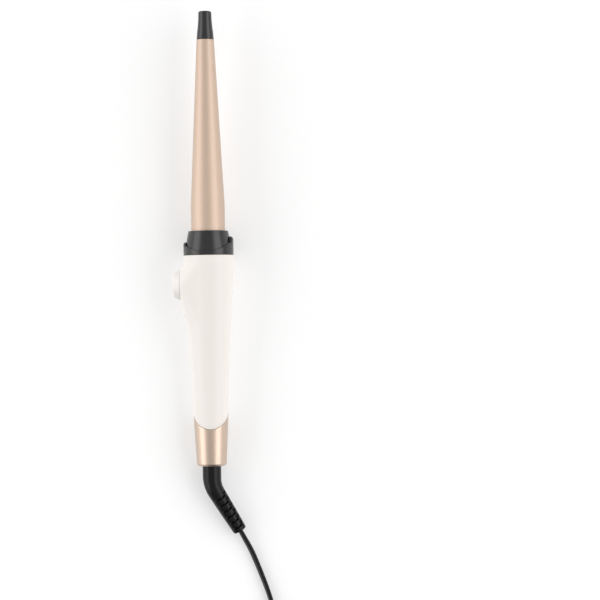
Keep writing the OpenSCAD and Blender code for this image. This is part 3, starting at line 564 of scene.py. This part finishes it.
# %% [markdown]
# ## The handle's shape
#
# The handle is two half shells. Its side is one long curve from the tail to the guard ring. On the
# button's side a pod stands out of it: a round flat face that falls away softly, short towards the
# ring and in a long ramp towards the tail.
#
# The pod's form is what a stretched skin over a disc and two rings of the handle would take, which is
# their convex hull. The hull is made as a hidden helper, rays are cast onto it, and the handle's own
# surface is blended into what they meet. That gives both shells one smooth grid, with no seam between
# handle and pod.

# %% The side curve and the pod's hull
NOSE_R, NOSE_Z, STRAIGHT_Z = 12.95, 39.6, 149.2
TAIL_R = 10.85
SPAN = STRAIGHT_Z - NOSE_Z
BUTTON_Z, BUTTON_R, POD_REACH = 133.3, 10.75, 21.3
SIDE = [
    (NOSE_R, NOSE_Z), (NOSE_R + 1, NOSE_Z + 0.41 * SPAN),
    (HANDLE_R - 1.05, STRAIGHT_Z - 0.26 * SPAN), (HANDLE_R, STRAIGHT_Z),
]


def side_curve_point(t):
    """A point of the side curve as its height and its radius."""
    weights = ((1 - t) ** 3, 3 * (1 - t) ** 2 * t, 3 * (1 - t) * t * t, t ** 3)
    return tuple(sum(w * p[i] for w, p in zip(weights, SIDE)) for i in (1, 0))


side_samples = [(0.0, TAIL_R)] + [side_curve_point(k / 60) for k in range(61)] + [(HANDLE_TOP, HANDLE_R)]

POD_R, POD_FILLET = 13.0, 3.4
BANDS = ((146.3, 149.6, 149.6, 0.35), (100.3, 101.3, 100.3, 0.4))
TO_POD = Matrix.Translation((0, 0, BUTTON_Z * MM)) @ Matrix.Rotation(math.radians(-90), 4, "Y")

pod_hull = turned("pod_hull", rounded([
    (POD_R, 12), (POD_R, POD_REACH, POD_FILLET), (2, POD_REACH),
], steps=14), segments=96, caps=(True, True))
apply_place(pod_hull, TO_POD)
for low, high, measured_at, inset in BANDS:
    radius = between(side_samples, measured_at) - inset
    profile = [(radius, low), (radius, high)]
    join_into(pod_hull, turned("pod_band", profile, segments=96, caps=(True, True)))
edit_all(pod_hull, bpy.ops.mesh.convex_hull)
pod_tree = BVHTree.FromObject(pod_hull, bpy.context.evaluated_depsgraph_get())
bpy.data.objects.remove(pod_hull)


def handle_surface(angle, z):
    """A point of the handle's skin. Angle 0 points at the button, 90 degrees at the far side."""
    r = between(side_samples, z)
    x, y = r * math.cos(angle), r * math.sin(angle)
    if x > 0:
        met, _, _, _ = pod_tree.ray_cast(Vector((-40, y, z)) * MM, Vector((1, 0, 0)))
        if met is not None:
            pod, blend = -met.x / MM, 1.1
            over = max(blend - abs(pod - x), 0) / blend
            x = max(pod, x) + over * over * blend / 4 * ease(x, 0, 3)
    return -x, y, z


# %% [markdown]
# ## The two shells
#
# Each shell is a grid bent over its half of the handle. Its lower edge follows the rounded nose, where
# two slanting cuts meet the metal-look sleeve, so every row of the grid starts on that edge. Rows are
# close together where the pod is and further apart elsewhere. The grid then gets its wall, the rims
# are rounded so that the joints read as fine lines, and holes are cut for the button, the status
# light's lens and, on the far shell, the two screw caps.

# %% Shell grids
ROW_HEIGHTS = (
    [k * 3.2 for k in range(0, 19)] + [60 + k * 1.6 for k in range(0, 8)]
    + [72.6 + k * 0.62 for k in range(0, 87)] + [126.0, 126.7, 127.3, 127.8, 128.2, 128.5]
)
LOWEST, HIGHEST = 26.7, HANDLE_TOP - 0.05
heights = [LOWEST + h * (HIGHEST - LOWEST) / ROW_HEIGHTS[-1] for h in ROW_HEIGHTS]
NOSE_GAP, SPLIT_GAP = 0.1, 0.04
SHELL_WALL, RIM_SOFT = 1.7, 0.22


def nose_edge(across, gap):
    """Height of the slanting joint between shell and sleeve, by the sine of the place around."""
    rise = (NOSE_R - TAIL_R) / NOSE_Z
    return (NOSE_Z + gap - TAIL_R * across) / (1 + rise * across)


def round_rims(piece, width, angle):
    """Rounds each edge that turns by more than an angle in degrees."""
    modify(
        piece, "BEVEL", width=width * MM, segments=2, limit_method="ANGLE", angle_limit=math.radians(angle),
    )


def make_shell(name, far):
    columns, rows = 124, len(heights) - 1
    sign = 1 if far else -1

    def place(u, v):
        angle = math.pi * (u if far else 1 - u)
        low = nose_edge(math.sin(angle), NOSE_GAP)
        h = heights[round(v * rows)]
        z = low + (h - LOWEST) * (HIGHEST - low) / (HIGHEST - LOWEST)
        x, y, z = handle_surface(angle, z)
        return x, sign * max(y, SPLIT_GAP), z

    shell = wrapped(name, columns, rows, place)
    only(shell)
    middle = shell.data.polygons[len(shell.data.polygons) // 2]
    outward = Vector((middle.center.x, middle.center.y, 0))
    if middle.normal.dot(outward) < 0:
        shell.data.flip_normals()
    modify(shell, "SOLIDIFY", thickness=SHELL_WALL * MM, offset=-1, use_even_offset=False)
    round_rims(shell, RIM_SOFT, 55)
    return shell


def rod(name, radius, start, end):
    """A plain cutting rod between two upright points, in millimetres."""
    nothing_selected()
    a, b = Vector(start) * MM, Vector(end) * MM
    bpy.ops.mesh.primitive_cylinder_add(vertices=96, radius=radius * MM, depth=(b - a).length)
    cutter = named(name)
    turn = (b - a).to_track_quat("Z", "Y").to_matrix().to_4x4()
    apply_place(cutter, Matrix.Translation((a + b) / 2) @ turn)
    return cutter


POD_HOLES = (
    ("button_hole", BUTTON_R + 0.3, BUTTON_Z, 10, 30), ("flange_room", 12.2, BUTTON_Z, 17.3, 19.6),
    ("lens_hole", 1.62, 112, 10, 30),
)
CAP_R, CAP_X, CAP_HEIGHTS = 2.85, 6, (52, 120.3)

for half in ("near", "far"):
    shell = make_shell("shell_" + half, half == "far")
    for name, radius, height, inner, outer in POD_HOLES:
        cut(shell, rod(name, radius, (-inner, 0, height), (-outer, 0, height)))
    if half == "far":
        for height in CAP_HEIGHTS:
            cut(shell, rod("cap_hole", CAP_R, (CAP_X, 8, height), (CAP_X, 30, height)))
    hand_over(shell, "handle_shell_" + half, "cream_plastic", "wand", angle=40)

# %% [markdown]
# ## The power button
#
# The button is a round cap with slanting sides and a generously rounded face, because a thumb finds
# it without looking. Below the pod's skin it widens into a flange that stops it from falling out. It
# is turned standing up, then tipped to point out of the pod. Its only mark is a plain on-off sign
# printed on the face.

# %% Power button
button = turned("button_cap", rounded([
    (2.4, 13.2), (2.4, 17), (6.2, 17), (6.2, 23.6), (7.4, 23.4), (9.0, 18.4), (12.0, 18.4, 0.2),
    (12.0, 19.5, 0.2), (BUTTON_R, 19.5), (BUTTON_R, 21.5, 0.4), (8.5, 26.75, 2.7), (0.4, 26.88),
], steps=7), segments=128, caps=(True, True))
ON_POD = LAY @ TO_POD
hand_over(button, "power_button", "cream_button", "button", ON_POD)

# %% [markdown]
# ## The return spring
#
# A steel spring pushes the button out again. It is a thin tube wrapped round a rising line, and its
# first and last turns lie flat on their neighbours, so that it stands square.

# %% Return spring
SPRING_R, WIRE_R, SPRING_TURNS, TURN_STEPS = 5.2, 0.3, 6, 32
SPRING_FOOT, SPRING_TOP = 4.62, 16.98
CLOSED_PITCH = 0.64
spring_steps = SPRING_TURNS * TURN_STEPS
open_pitch = (SPRING_TOP - SPRING_FOOT - 2 * WIRE_R - 2 * CLOSED_PITCH) / (SPRING_TURNS - 2)


def spring_height(turn):
    """The height of the wire's middle after that many turns."""
    closed = min(turn, 1) + max(turn - (SPRING_TURNS - 1), 0)
    return SPRING_FOOT + WIRE_R + closed * CLOSED_PITCH + (turn - closed) * open_pitch


def spring_place(u, v):
    row = round(v * (spring_steps + 2))
    turn = min(max(row - 1, 0), spring_steps) / TURN_STEPS
    r = 0 if row in (0, spring_steps + 2) else WIRE_R
    a, b = 2 * math.pi * turn, 2 * math.pi * u
    far = SPRING_R + r * math.cos(b)
    return far * math.cos(a), far * math.sin(a), spring_height(turn) + r * math.sin(b)


button_spring = wrapped("return_spring", 12, spring_steps + 2, spring_place)
hand_over(button_spring, "button_spring", "steel", "wand", ON_POD)
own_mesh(button_spring)

# %% [markdown]
# ## The power mark
#
# The sign on the button's face is an open ring and a bar, printed, so it stands only a hair proud. It
# is a thin turned ring with a gap cut out of it and a flat block joined to it.

# %% Power mark
MARK_LOW, MARK_HIGH = 26.84, 26.9
MARK_IN, MARK_OUT = 2.65, 3.2


def block(name, size, middle):
    """A plain block, in millimetres."""
    nothing_selected()
    bpy.ops.mesh.primitive_cube_add(size=1)
    piece = named(name)
    piece.scale = Vector(size) * MM
    piece.location = Vector(middle) * MM
    apply_place(piece)
    return piece


mark = turned("power_mark", [
    (MARK_IN, MARK_LOW), (MARK_OUT, MARK_LOW), (MARK_OUT, MARK_HIGH), (MARK_IN, MARK_HIGH),
], segments=96, loop=True)
cut(mark, block("mark_gap", (3, 2.2, 3), (3, 0, 26.8)))
mark_bar = block("mark_bar", (3.0, 0.55, MARK_HIGH - MARK_LOW), (2.6, 0, (MARK_LOW + MARK_HIGH) / 2))
modify(mark_bar, "BEVEL", width=0.02 * MM, segments=2)
join_into(mark, mark_bar)
hand_over(mark, None, "charcoal_plastic", "button", ON_POD)

# %% [markdown]
# ## The tail sleeve
#
# A metallised plastic sleeve closes the tail. Its two V-shaped tongues run up between the shells'
# rounded noses. Like the ring, it is one cross-section wrapped round the axis, with the height of its
# top edge worked out for every column, and its bottom edge is rounded into a thick soft rim.

# %% Tail sleeve
SLEEVE_WALL, SLEEVE_HOLE, SLEEVE_FLOOR, SLEEVE_FOOT = 1.5, 7.2, 1.9, TAIL_R + 0.1


def sleeve_section(across):
    """The sleeve's closed outline, its long walls divided so that the grid has even rows."""
    top = nose_edge(across, -NOSE_GAP)
    outer = TAIL_R + (NOSE_R - TAIL_R) / NOSE_Z * top
    points = rounded([
        (SLEEVE_HOLE, SLEEVE_FLOOR), (SLEEVE_HOLE, 0, 0.35), (SLEEVE_FOOT, 0, 2.2), (outer, top, 0.18),
        (outer - SLEEVE_WALL, top, 0.18), (SLEEVE_FOOT - SLEEVE_WALL, SLEEVE_FLOOR),
        (SLEEVE_HOLE, SLEEVE_FLOOR),
    ], steps=8)
    section = []
    for (r0, z0), (r1, z1) in zip(points, points[1:]):
        parts = 12 if abs(z0 - z1) > 20 else 1
        section += [(r0 + (r1 - r0) * k / parts, z0 + (z1 - z0) * k / parts) for k in range(parts)]
    return section + [points[-1]]


sleeve = ringed("tail_sleeve_skin", 160, lambda angle: sleeve_section(abs(math.sin(angle))))
hand_over(sleeve, "tail_sleeve", "champagne_sleeve", "wand", angle=40)

# %% [markdown]
# ## The cord relief
#
# The relief is a moulded rubber elbow. Rows of slots make its end bend instead of kinking the cord:
# one row on each face and, half a step nearer the wand, two rows of short notches, one to each side of
# the edge towards which it bends. It is a tube wrapped round a bent centre line. Where a slot is, the
# surface sinks towards the middle, which keeps the tube one closed skin.

# %% Relief
SLOT_COUNT, SLOT_PITCH = 6, 5
SLOT_HALF, SLOT_EDGE, SLOT_BOW = 0.5, 0.8, 1.6
FACE_SLOT, NOTCH = (48, 2.5), (23, 2.0)  # half the angle it spans, and its depth
NOTCH_AT = math.radians(40)
FIRST_SLOT = RELIEF_END - 4 - SLOT_PITCH * (SLOT_COUNT - 1)
RELIEF_RADII = [
    (-10.4, 6.85), (0, 6.85), (BEND_LEN, 6.3), (BEND_LEN + 17, 5.75), (RELIEF_END - 1.4, 5.13),
    (RELIEF_END - 0.8, 5.0), (RELIEF_END - 0.35, 4.7), (RELIEF_END - 0.08, 4.2), (RELIEF_END, 3.6),
]


def slot_depth(s, angle):
    """How deep the surface sinks at a place, in millimetres. Angle 0 is the edge it bends towards."""
    from_edge = abs((angle + math.pi) % (2 * math.pi) - math.pi)
    rows = (
        (0, math.sin(angle), *FACE_SLOT), (0, -math.sin(angle), *FACE_SLOT),
        (0.5, math.cos(from_edge - NOTCH_AT), *NOTCH),
    )
    deepest = 0
    for i in range(SLOT_COUNT):
        for back_by, facing, reach, depth in rows:
            if facing > 0:
                bowed = FIRST_SLOT + SLOT_PITCH * (i - back_by) + SLOT_BOW * (facing - 0.85)
                near = 1 - ease(abs(s - bowed), SLOT_HALF, SLOT_EDGE)
                wide = 1 - ease(math.degrees(math.acos(min(facing, 1))), reach - 9, reach)
                deepest = max(deepest, near * wide * depth)
    return deepest


SLOTS_FROM, SLOT_ROWS = 11.0, 0.24
relief_stations = (
    [-10.4 + k * 0.95 for k in range(11)] + [k * 0.8 for k in range(1, 14)]
    + [SLOTS_FROM + k * SLOT_ROWS for k in range(int((RELIEF_END - 1.6 - SLOTS_FROM) / SLOT_ROWS))]
    + [RELIEF_END - short for short in (1.4, 1.1, 0.8, 0.55, 0.35, 0.2, 0.08, 0)]
)
RELIEF_COLUMNS = 128
last_row = len(relief_stations) + 1


def relief_place(u, v):
    row = round(v * last_row)
    s = relief_stations[min(max(row - 1, 0), len(relief_stations) - 1)]
    a = 2 * math.pi * round(u * RELIEF_COLUMNS) / RELIEF_COLUMNS
    centre, heading = relief_centre(s)
    across = Vector((0, 1, 0)).cross(heading)
    across = across if across.x > 0 else -across
    r = 0 if row in (0, last_row) else between(RELIEF_RADII, s) - slot_depth(s, a)
    return centre + across * r * math.cos(a) + Vector((0, 1, 0)) * r * math.sin(a)


relief = wrapped("relief_skin", RELIEF_COLUMNS, last_row, relief_place)
hand_over(relief, "cord_relief", "black_rubber", "swivel", RELIEF_SET, angle=60)

# %% [markdown]
# ## The plug
#
# The cord ends in a flat two-pin plug. Its body is a stadium-shaped block that narrows in a soft
# shoulder to the cord, with finger grips moulded into its wide sides and flexing ribs on its tail.
# Each ring of the grid is a stadium of its own width and height.

# %% Plug body
PLUG_X, PLUG_FRONT, PLUG_Z = 24.6, -315.5, 18.45
PLUG_ROWS = [
    (0, 0, 0), (0, 8, 3), (0, 16.6, 5.9), (0.12, 17.05, 6.3), (0.4, 17.4, 6.62), (0.8, 17.6, 6.82),
    (1.2, 17.65, 6.85), (3, 17.65, 6.85), (6, 17.65, 6.85), (9, 17.6, 6.85), (10.4, 17.5, 6.83),
    (11.4, 17.2, 6.8), (12.6, 16.5, 6.7), (14, 15.2, 6.55), (15.5, 13.5, 6.4), (17, 11.7, 6.2),
    (18.5, 10.0, 6.0), (20, 8.4, 5.75), (21.5, 7.0, 5.5), (23, 5.8, 5.2), (24.2, 5.1, 4.95),
] + [
    (24.6 + 1.8 * k + dz, 4.95 - 0.3 * k - cut_in, 4.85 - 0.3 * k - cut_in)
    for k in range(5) for dz, cut_in in ((0, 0), (0.9, 0), (1.1, 0.45), (1.55, 0.45))
] + [(33.6, 3.5, 3.4), (34.0, 3.3, 3.2), (34.0, 0, 0)]
PLUG_COLUMNS = 96


def plug_place(u, v):
    forward, wide, high = PLUG_ROWS[round(v * (len(PLUG_ROWS) - 1))]
    a = 2 * math.pi * round(u * PLUG_COLUMNS) / PLUG_COLUMNS
    flat = max(wide - high, 0)
    x = high * math.cos(a) + flat * max(-1, min(1, math.cos(a) * 1.35))
    z = high * math.sin(a)
    grip = 0.45 * ease(forward, 2, 3) * (1 - ease(forward, 10, 12)) * ease(abs(math.cos(a)), 0.8, 0.95)
    grip *= 0.5 + 0.5 * math.cos(forward * 2 * math.pi / 1.9)
    x -= grip * (1 if x > 0 else -1)
    return PLUG_X + x, PLUG_FRONT + forward, PLUG_Z + z


plug = wrapped("plug_shell", PLUG_COLUMNS, len(PLUG_ROWS) - 1, plug_place)
hand_over(plug, "plug_body", "plug_plastic", "wand", Matrix(), angle=40)

# %% [markdown]
# ## The tie
#
# A woven strap holds the coil. It is a loop with rounded corners that goes round the bundle of turns,
# modelled flat as a plane whose corners are rounded, pulled out to the strap's width, and thickened.

# %% Tie
TIE_T, TIE_W, TIE_ANGLE = 0.7, 4.0, -110
BUNDLE_IN, BUNDLE_OUT = 20.3, 37.1
TIE_SLACK, TIE_FOOT, TIE_CORNER = 0.15, 0.72, 2.3
tie_w, tie_h = BUNDLE_OUT - BUNDLE_IN + 2 * TIE_SLACK, 11.0
nothing_selected()
bpy.ops.mesh.primitive_plane_add(size=1)
tie = named("coil_tie")
tie.scale = (tie_w * MM, tie_h * MM, 1)
apply_place(tie)
bpy.ops.object.mode_set(mode="EDIT")
bpy.ops.mesh.select_all(action="SELECT")
bpy.ops.mesh.bevel(offset=TIE_CORNER * MM, segments=7, affect="VERTICES")
bpy.ops.mesh.delete(type="ONLY_FACE")
bpy.ops.mesh.select_all(action="SELECT")
bpy.ops.mesh.extrude_edges_move(TRANSFORM_OT_translate={"value": (0, 0, TIE_W * MM)})
bpy.ops.object.mode_set(mode="OBJECT")
clean_mesh(tie)
modify(tie, "SOLIDIFY", thickness=TIE_T * MM, offset=1, use_even_offset=True)
round_rims(tie, 0.15, 50)
upright = Matrix.Translation((0, TIE_W / 2 * MM, 0)) @ Matrix.Rotation(math.radians(90), 4, "X")
across_coil = Matrix.Translation(((BUNDLE_IN + BUNDLE_OUT) / 2 * MM, 0, (TIE_FOOT + tie_h / 2) * MM))
on_coil = Matrix.Translation((COIL_X * MM, COIL_Y * MM, 0))
round_coil = on_coil @ Matrix.Rotation(math.radians(TIE_ANGLE), 4, "Z")
hand_over(tie, "cord_tie", "tie_plastic", "wand", round_coil @ across_coil @ upright, angle=40)
print("coil_tie from z", round(min(v.co.z for v in tie.data.vertices) / MM, 2), "to",
      round(max(v.co.z for v in tie.data.vertices) / MM, 2), "mm")

# %% [markdown]
# ## Finishing the cord
#
# The coil lies on the table and the wand's swivel turns, so the cord's first stretch would have to take
# up the turn. Here only the length of that stretch and where it ends are worked out. The cord is baked
# where it lies and queued for its finish, and the engineering model's cord is hidden. Near half a turn
# such a twist would swing that stretch below the table's top, which isn't solved here.

# %% Baking the cord and hiding the engineering model's cord
TWIST_LENGTH = 0.05
lead_heading = (Vector(LEAD[4][:3]) - Vector(LEAD[0][:3])).normalized()
twist_end = cord_exit + lead_heading * TWIST_LENGTH
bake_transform(mains_cord)
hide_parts("cord_lead", "cord_coil", "cord_tail")
dressed.append((mains_cord, "black_cord"))

# %% [markdown]
# ## Writing shader maths
#
# A finish is a small network of nodes. Sums on sockets read best as sums, so one class wraps a socket
# and turns Python's operators into Math nodes. A second class makes any other node from its type, and
# a third one stands for a whole finish and feeds the results to the surface shader. Patterns are
# placed by Object coordinates, so they stay put on the piece.

# %% Value, Network and Finish
class Value:
    """A socket that Python's operators turn into Math nodes."""

    def __init__(self, network, socket):
        self.network, self.socket = network, socket

    def maths(self, operation, first, second=0.0):
        return self.network.node("ShaderNodeMath", {0: first, 1: second}, operation=operation)

    def __add__(self, other):
        return self.maths("ADD", self, other)

    def __sub__(self, other):
        return self.maths("SUBTRACT", self, other)

    def __rsub__(self, other):
        return self.maths("SUBTRACT", other, self)

    def __mul__(self, other):
        return self.maths("MULTIPLY", self, other)

    __radd__ = __add__
    __rmul__ = __mul__

    def wave(self):
        return self.maths("SINE", self)


class Network:
    """The nodes of a material or of the world."""

    def __init__(self, owner):
        owner.use_nodes = True
        self.tree = owner.node_tree

    def put(self, socket, value):
        if isinstance(value, Value):
            self.tree.links.new(value.socket, socket)
        elif hasattr(value, "__len__") and len(value) == 3 and socket.type == "RGBA":
            socket.default_value = (*value, 1)
        else:
            socket.default_value = value

    def node(self, kind, sockets=None, output=0, stops=None, **settings):
        """Any node: its settings first, such as a ramp's two stops, then its sockets."""
        made = self.tree.nodes.new(kind)
        for key, value in settings.items():
            setattr(made, key, value)
        if stops:
            for element, (position, colour) in zip(made.color_ramp.elements, stops):
                element.position, element.color = position, (*colour, 1)
        for key, value in (sockets or {}).items():
            self.put(made.inputs[key], value)
        return Value(self, made.outputs[output])


finishes = {}


class Finish(Network):
    """A material, kept in finishes under its name."""

    def __init__(self, name, colour, roughness, metallic=0.0, **constants):
        self.material = bpy.data.materials.new(name)
        super().__init__(self.material)
        self.shader = self.tree.nodes["Principled BSDF"]
        self.feed("Metallic", metallic)
        for socket, value in constants.items():
            self.feed(socket.replace("_", " "), value)
        self.place = self.node("ShaderNodeTexCoord", output="Object")
        self.feed("Base Color", colour)
        self.feed("Roughness", roughness)
        finishes[name] = self

    def feed(self, socket, value):
        self.put(self.shader.inputs[socket], value)

    def noise(self, size, detail=2.0, rough=0.5):
        """Noise whose blobs are about size millimetres, from 0 to 1 around 0.5."""
        return self.node("ShaderNodeTexNoise", {
            "Vector": self.place, "Scale": 1 / (size * MM), "Detail": detail, "Roughness": rough,
        }, output="Fac")

    def mix(self, share, low, high):
        """A colour between two, by a share from 0 to 1."""
        return self.node("ShaderNodeMix", {0: share, 6: low, 7: high}, output=2, data_type="RGBA")

    def bump(self, height, depth, strength=1.0, under=None):
        """A normal that looks embossed by height, which is 0 to 1 and stands for depth millimetres."""
        sockets = {"Height": height, "Distance": depth * MM, "Strength": strength}
        if under is not None:
            sockets["Normal"] = under
        return self.node("ShaderNodeBump", sockets, output="Normal")

    def paint(self, piece):
        piece.data.materials.clear()
        piece.data.materials.append(self.material)


def shade(colour, factor):
    return tuple(min(c * factor, 1) for c in colour)


# %% [markdown]
# ## A moulded or metal finish from a few numbers
#
# Most pieces need the same kinds of detail at different sizes and strengths: a fine grain from the
# mould or the mill, a slow drift of tone, and spots that are a little glossier than the rest. One
# function makes them from a few numbers, so that each finish is one line, and the pieces that are
# seen close up get more on top.

# %% Grained finishes
def grained(
    name, colour, roughness, metallic=0.0, grain=0.35, depth=0.02, drift=0.06, patch=6, **constants,
):
    """A finish with a grain of that size and depth, and a drift of tone over larger patches."""
    finish = Finish(name, colour, roughness, metallic, **constants)
    fine = finish.noise(grain, detail=3, rough=0.6)
    slow = finish.noise(patch, detail=2)
    tone = (slow - 0.5) * (drift * 2) + (fine - 0.5) * drift + 0.5
    finish.feed("Base Color", finish.mix(tone, shade(colour, 1 - drift), shade(colour, 1 + drift)))
    finish.feed("Roughness", (fine - 0.5) * 0.16 + (slow - 0.5) * 0.1 + roughness)
    finish.feed("Normal", finish.bump(fine, depth, 0.6))
    return finish


CHARCOAL = (0.007, 0.007, 0.0072)
CREAM = (0.83, 0.785, 0.74)
JET = (0.003, 0.003, 0.0032)
grained("charcoal_plastic", CHARCOAL, 0.27, grain=0.3, depth=0.015, Specular_IOR_Level=0.62)
grained("cream_plastic", CREAM, 0.42, grain=0.32, depth=0.012, drift=0.02, patch=25)
grained("cream_button", (0.84, 0.80, 0.76), 0.34, grain=0.4, depth=0.008, drift=0.02)
grained("steel", (0.60, 0.60, 0.61), 0.3, 1.0, grain=0.2, depth=0.004)
grained("aluminium", (0.72, 0.73, 0.74), 0.42, 1.0, grain=0.25, depth=0.01)
grained("heater_film", (0.55, 0.27, 0.06), 0.22, grain=0.8, depth=0.02, drift=0.12)
grained("amber_bead", (0.72, 0.34, 0.08), 0.08, grain=0.5, depth=0.003, Coat_Weight=0.5)
grained("fuse_case", (0.62, 0.62, 0.57), 0.35, 0.7, grain=0.3, depth=0.01)
grained("white_wire", (0.80, 0.78, 0.70), 0.6, grain=0.5, depth=0.03)
grained("dark_wire", (0.05, 0.05, 0.055), 0.5, grain=0.5, depth=0.02)
grained("mica", (0.62, 0.54, 0.38), 0.35, grain=1.4, depth=0.05, drift=0.2, patch=3)
grained("black_plastic", (0.018, 0.018, 0.019), 0.5, grain=0.3, depth=0.02)
grained("board_green", (0.012, 0.13, 0.04), 0.3, grain=0.9, depth=0.01, drift=0.15, patch=2)
grained("capacitor_yellow", (0.75, 0.47, 0.03), 0.28, grain=0.7, depth=0.02)
grained("capacitor_blue", (0.02, 0.05, 0.22), 0.3, grain=0.5, depth=0.005)
grained("resistor_teal", (0.10, 0.38, 0.40), 0.32, grain=0.3, depth=0.02, drift=0.1)
grained("led_body", (0.90, 0.87, 0.70), 0.2, grain=0.4, depth=0.004)
grained("lens_plastic", (0.86, 0.74, 0.62), 0.18, grain=0.5, depth=0.004, drift=0.02)
grained("contact_brass", (0.78, 0.52, 0.19), 0.28, 1.0, grain=0.15, depth=0.004)
grained("cream_inner", (0.74, 0.70, 0.60), 0.5, grain=0.4, depth=0.02)
grained("brown_wire", (0.16, 0.065, 0.03), 0.5, grain=0.5, depth=0.02)
grained("black_rubber", JET, 0.26, grain=0.3, depth=0.01, drift=0.1, Specular_IOR_Level=0.22)
grained("plug_plastic", (0.014, 0.014, 0.015), 0.36, grain=0.35, depth=0.015, drift=0.1)
grained("pin_metal", (0.70, 0.69, 0.66), 0.2, 1.0, grain=0.15, depth=0.003)
print(len(finishes), "grained finishes")

# %% [markdown]
# ## The barrel's coating
#
# Hair slides over a lacquer with metal flakes in it. From a distance it is a satin champagne metal,
# and from close by it sparkles a little: each flake lies at its own angle. A Voronoi pattern gives
# every flake its own colour, and that colour turns the normal slightly. The lacquer's surface is
# smooth, with a very slight orange peel.

# %% Champagne coating
def champagne(name, colour, roughness, flake=0.22, glitter=0.05):
    finish = Finish(name, colour, roughness, 1.0, Coat_Roughness=0.25)
    flakes = finish.node("ShaderNodeTexVoronoi", {
        "Vector": finish.place, "Scale": 1 / (flake * MM),
    }, output="Color")
    lightness = finish.node("ShaderNodeSeparateColor", {"Color": flakes}, output=0)
    slow = finish.noise(18, detail=2)
    tone = (lightness - 0.5) * 0.5 + (slow - 0.5) * 0.5 + 0.5
    finish.feed("Base Color", finish.mix(tone, shade(colour, 0.94), shade(colour, 1.05)))
    finish.feed("Roughness", (lightness - 0.5) * 0.08 + (slow - 0.5) * 0.05 + roughness)
    peel = finish.noise(1.6, detail=1)
    soft = finish.bump(peel, 0.02, 0.5)
    finish.feed("Normal", finish.bump(lightness, flake * glitter, 0.5, under=soft))
    finish.feed("Coat Weight", slow * 0.3 + 0.45)


champagne("champagne_coating", (0.63, 0.49, 0.39), 0.62)
champagne("champagne_sleeve", (0.60, 0.47, 0.375), 0.42, flake=0.12, glitter=0.02)

# %% [markdown]
# ## The flex and its tie
#
# The flex is extruded, so its only texture is a faint drag along its length, too fine to follow the
# coil's turns: a soft blotchy sheen stands for it. The tie is woven from polyester, so its finish has
# a weave of two crossing waves.

# %% Flex and tie
grained("black_cord", JET, 0.26, grain=0.5, depth=0.008, drift=0.1, Specular_IOR_Level=0.2)
THREAD_LONG, THREAD_ACROSS = 0.9, 0.8

woven = Finish("tie_plastic", (0.03, 0.03, 0.032), 0.75)
centred = woven.node("ShaderNodeMapping", {
    "Vector": woven.place, "Location": (-COIL_X * MM, -COIL_Y * MM, 0),
}, output="Vector")
squared = woven.node("ShaderNodeMapping", {
    "Vector": centred, "Rotation": (0, 0, math.radians(-TIE_ANGLE)),
}, output="Vector")
lengthways, crossways = (
    (woven.node("ShaderNodeSeparateXYZ", {0: squared}, output=axis) * (2 * math.pi / (thread * MM))).wave()
    for axis, thread in (("X", THREAD_LONG), ("Y", THREAD_ACROSS))
)
weave = lengthways * crossways * 0.5 + 0.5
woven.feed("Base Color", woven.mix(weave, (0.018, 0.018, 0.02), (0.06, 0.06, 0.064)))
woven.feed("Normal", woven.bump(weave, 0.12, 0.7))

# %% [markdown]
# ## Every piece gets its finish
#
# Both lists lead to the same finishes, so the nodes that stay in view match the pieces that replaced
# their neighbours.

# %% Painting
for part in frame["record"]["subparts"]:
    finishes[part["material_slot"]].paint(frame["nodes"][part["node"]])
for piece, slot in dressed:
    finishes[slot].paint(piece)

# %% [markdown]
# ## The table and the light
#
# The wand lies on a plain pale table, whose finish glows faintly so that it stays pale to its edge.
# Two long soft lights stand parallel to the wand, one on each side, so each draws one long even
# highlight along the round shapes. The world adds a soft grey, so nothing goes black. It darkens only
# towards the wand's tail, so that rims facing that way get a fine dark line.

# %% Table
nothing_selected()
bpy.ops.mesh.primitive_plane_add(size=6)
table = named("table")
paper = grained("table_top", (0.62, 0.62, 0.62), 0.7, grain=1.2, depth=0.01, drift=0.01, patch=60)
paper.feed("Emission Color", (1, 1, 1))
paper.feed("Emission Strength", 0.36)
paper.paint(table)


# %% Lights
STRIP_AWAY, STRIP_WIDE, STRIP_LONG, STRIP_POWER = 1.1, 0.8, 1.8, 8


def strip_light(name, from_view):
    """A long soft light parallel to the wand, from_view degrees round from the camera's side."""
    a = math.radians(from_view)
    towards = right * math.sin(a) + towards_camera * math.cos(a)
    data = bpy.data.lights.new(name, "AREA")
    data.shape, data.size, data.size_y, data.energy = "RECTANGLE", STRIP_WIDE, STRIP_LONG, STRIP_POWER
    light = bpy.data.objects.new(name, data)
    bpy.context.scene.collection.objects.link(light)
    spot = lying(0, 0, 170) + towards * STRIP_AWAY
    light.matrix_world = Matrix.Translation(spot) @ axes(up.cross(towards).normalized(), up, towards)
    print(name, "at", [round(c, 2) for c in spot])


strip_light("left_strip", -64)
strip_light("right_strip", 52)

# %% World
world = bpy.data.worlds.new("studio")
sky = Network(world)
direction = sky.node("ShaderNodeTexCoord", output="Generated")
tailwards = sky.node(
    "ShaderNodeVectorMath", {0: direction, 1: tuple(-along)}, output="Value", operation="DOT_PRODUCT",
)
grey = sky.node(
    "ShaderNodeValToRGB", {"Fac": tailwards}, output="Color", stops=((0.4, (1, 1, 1)), (0.8, (0.06,) * 3)),
)
background = sky.tree.nodes["Background"]
sky.put(background.inputs["Color"], grey)
sky.put(background.inputs["Strength"], 0.66)
bpy.context.scene.world = world
bpy.context.scene.view_settings.view_transform = "Standard"
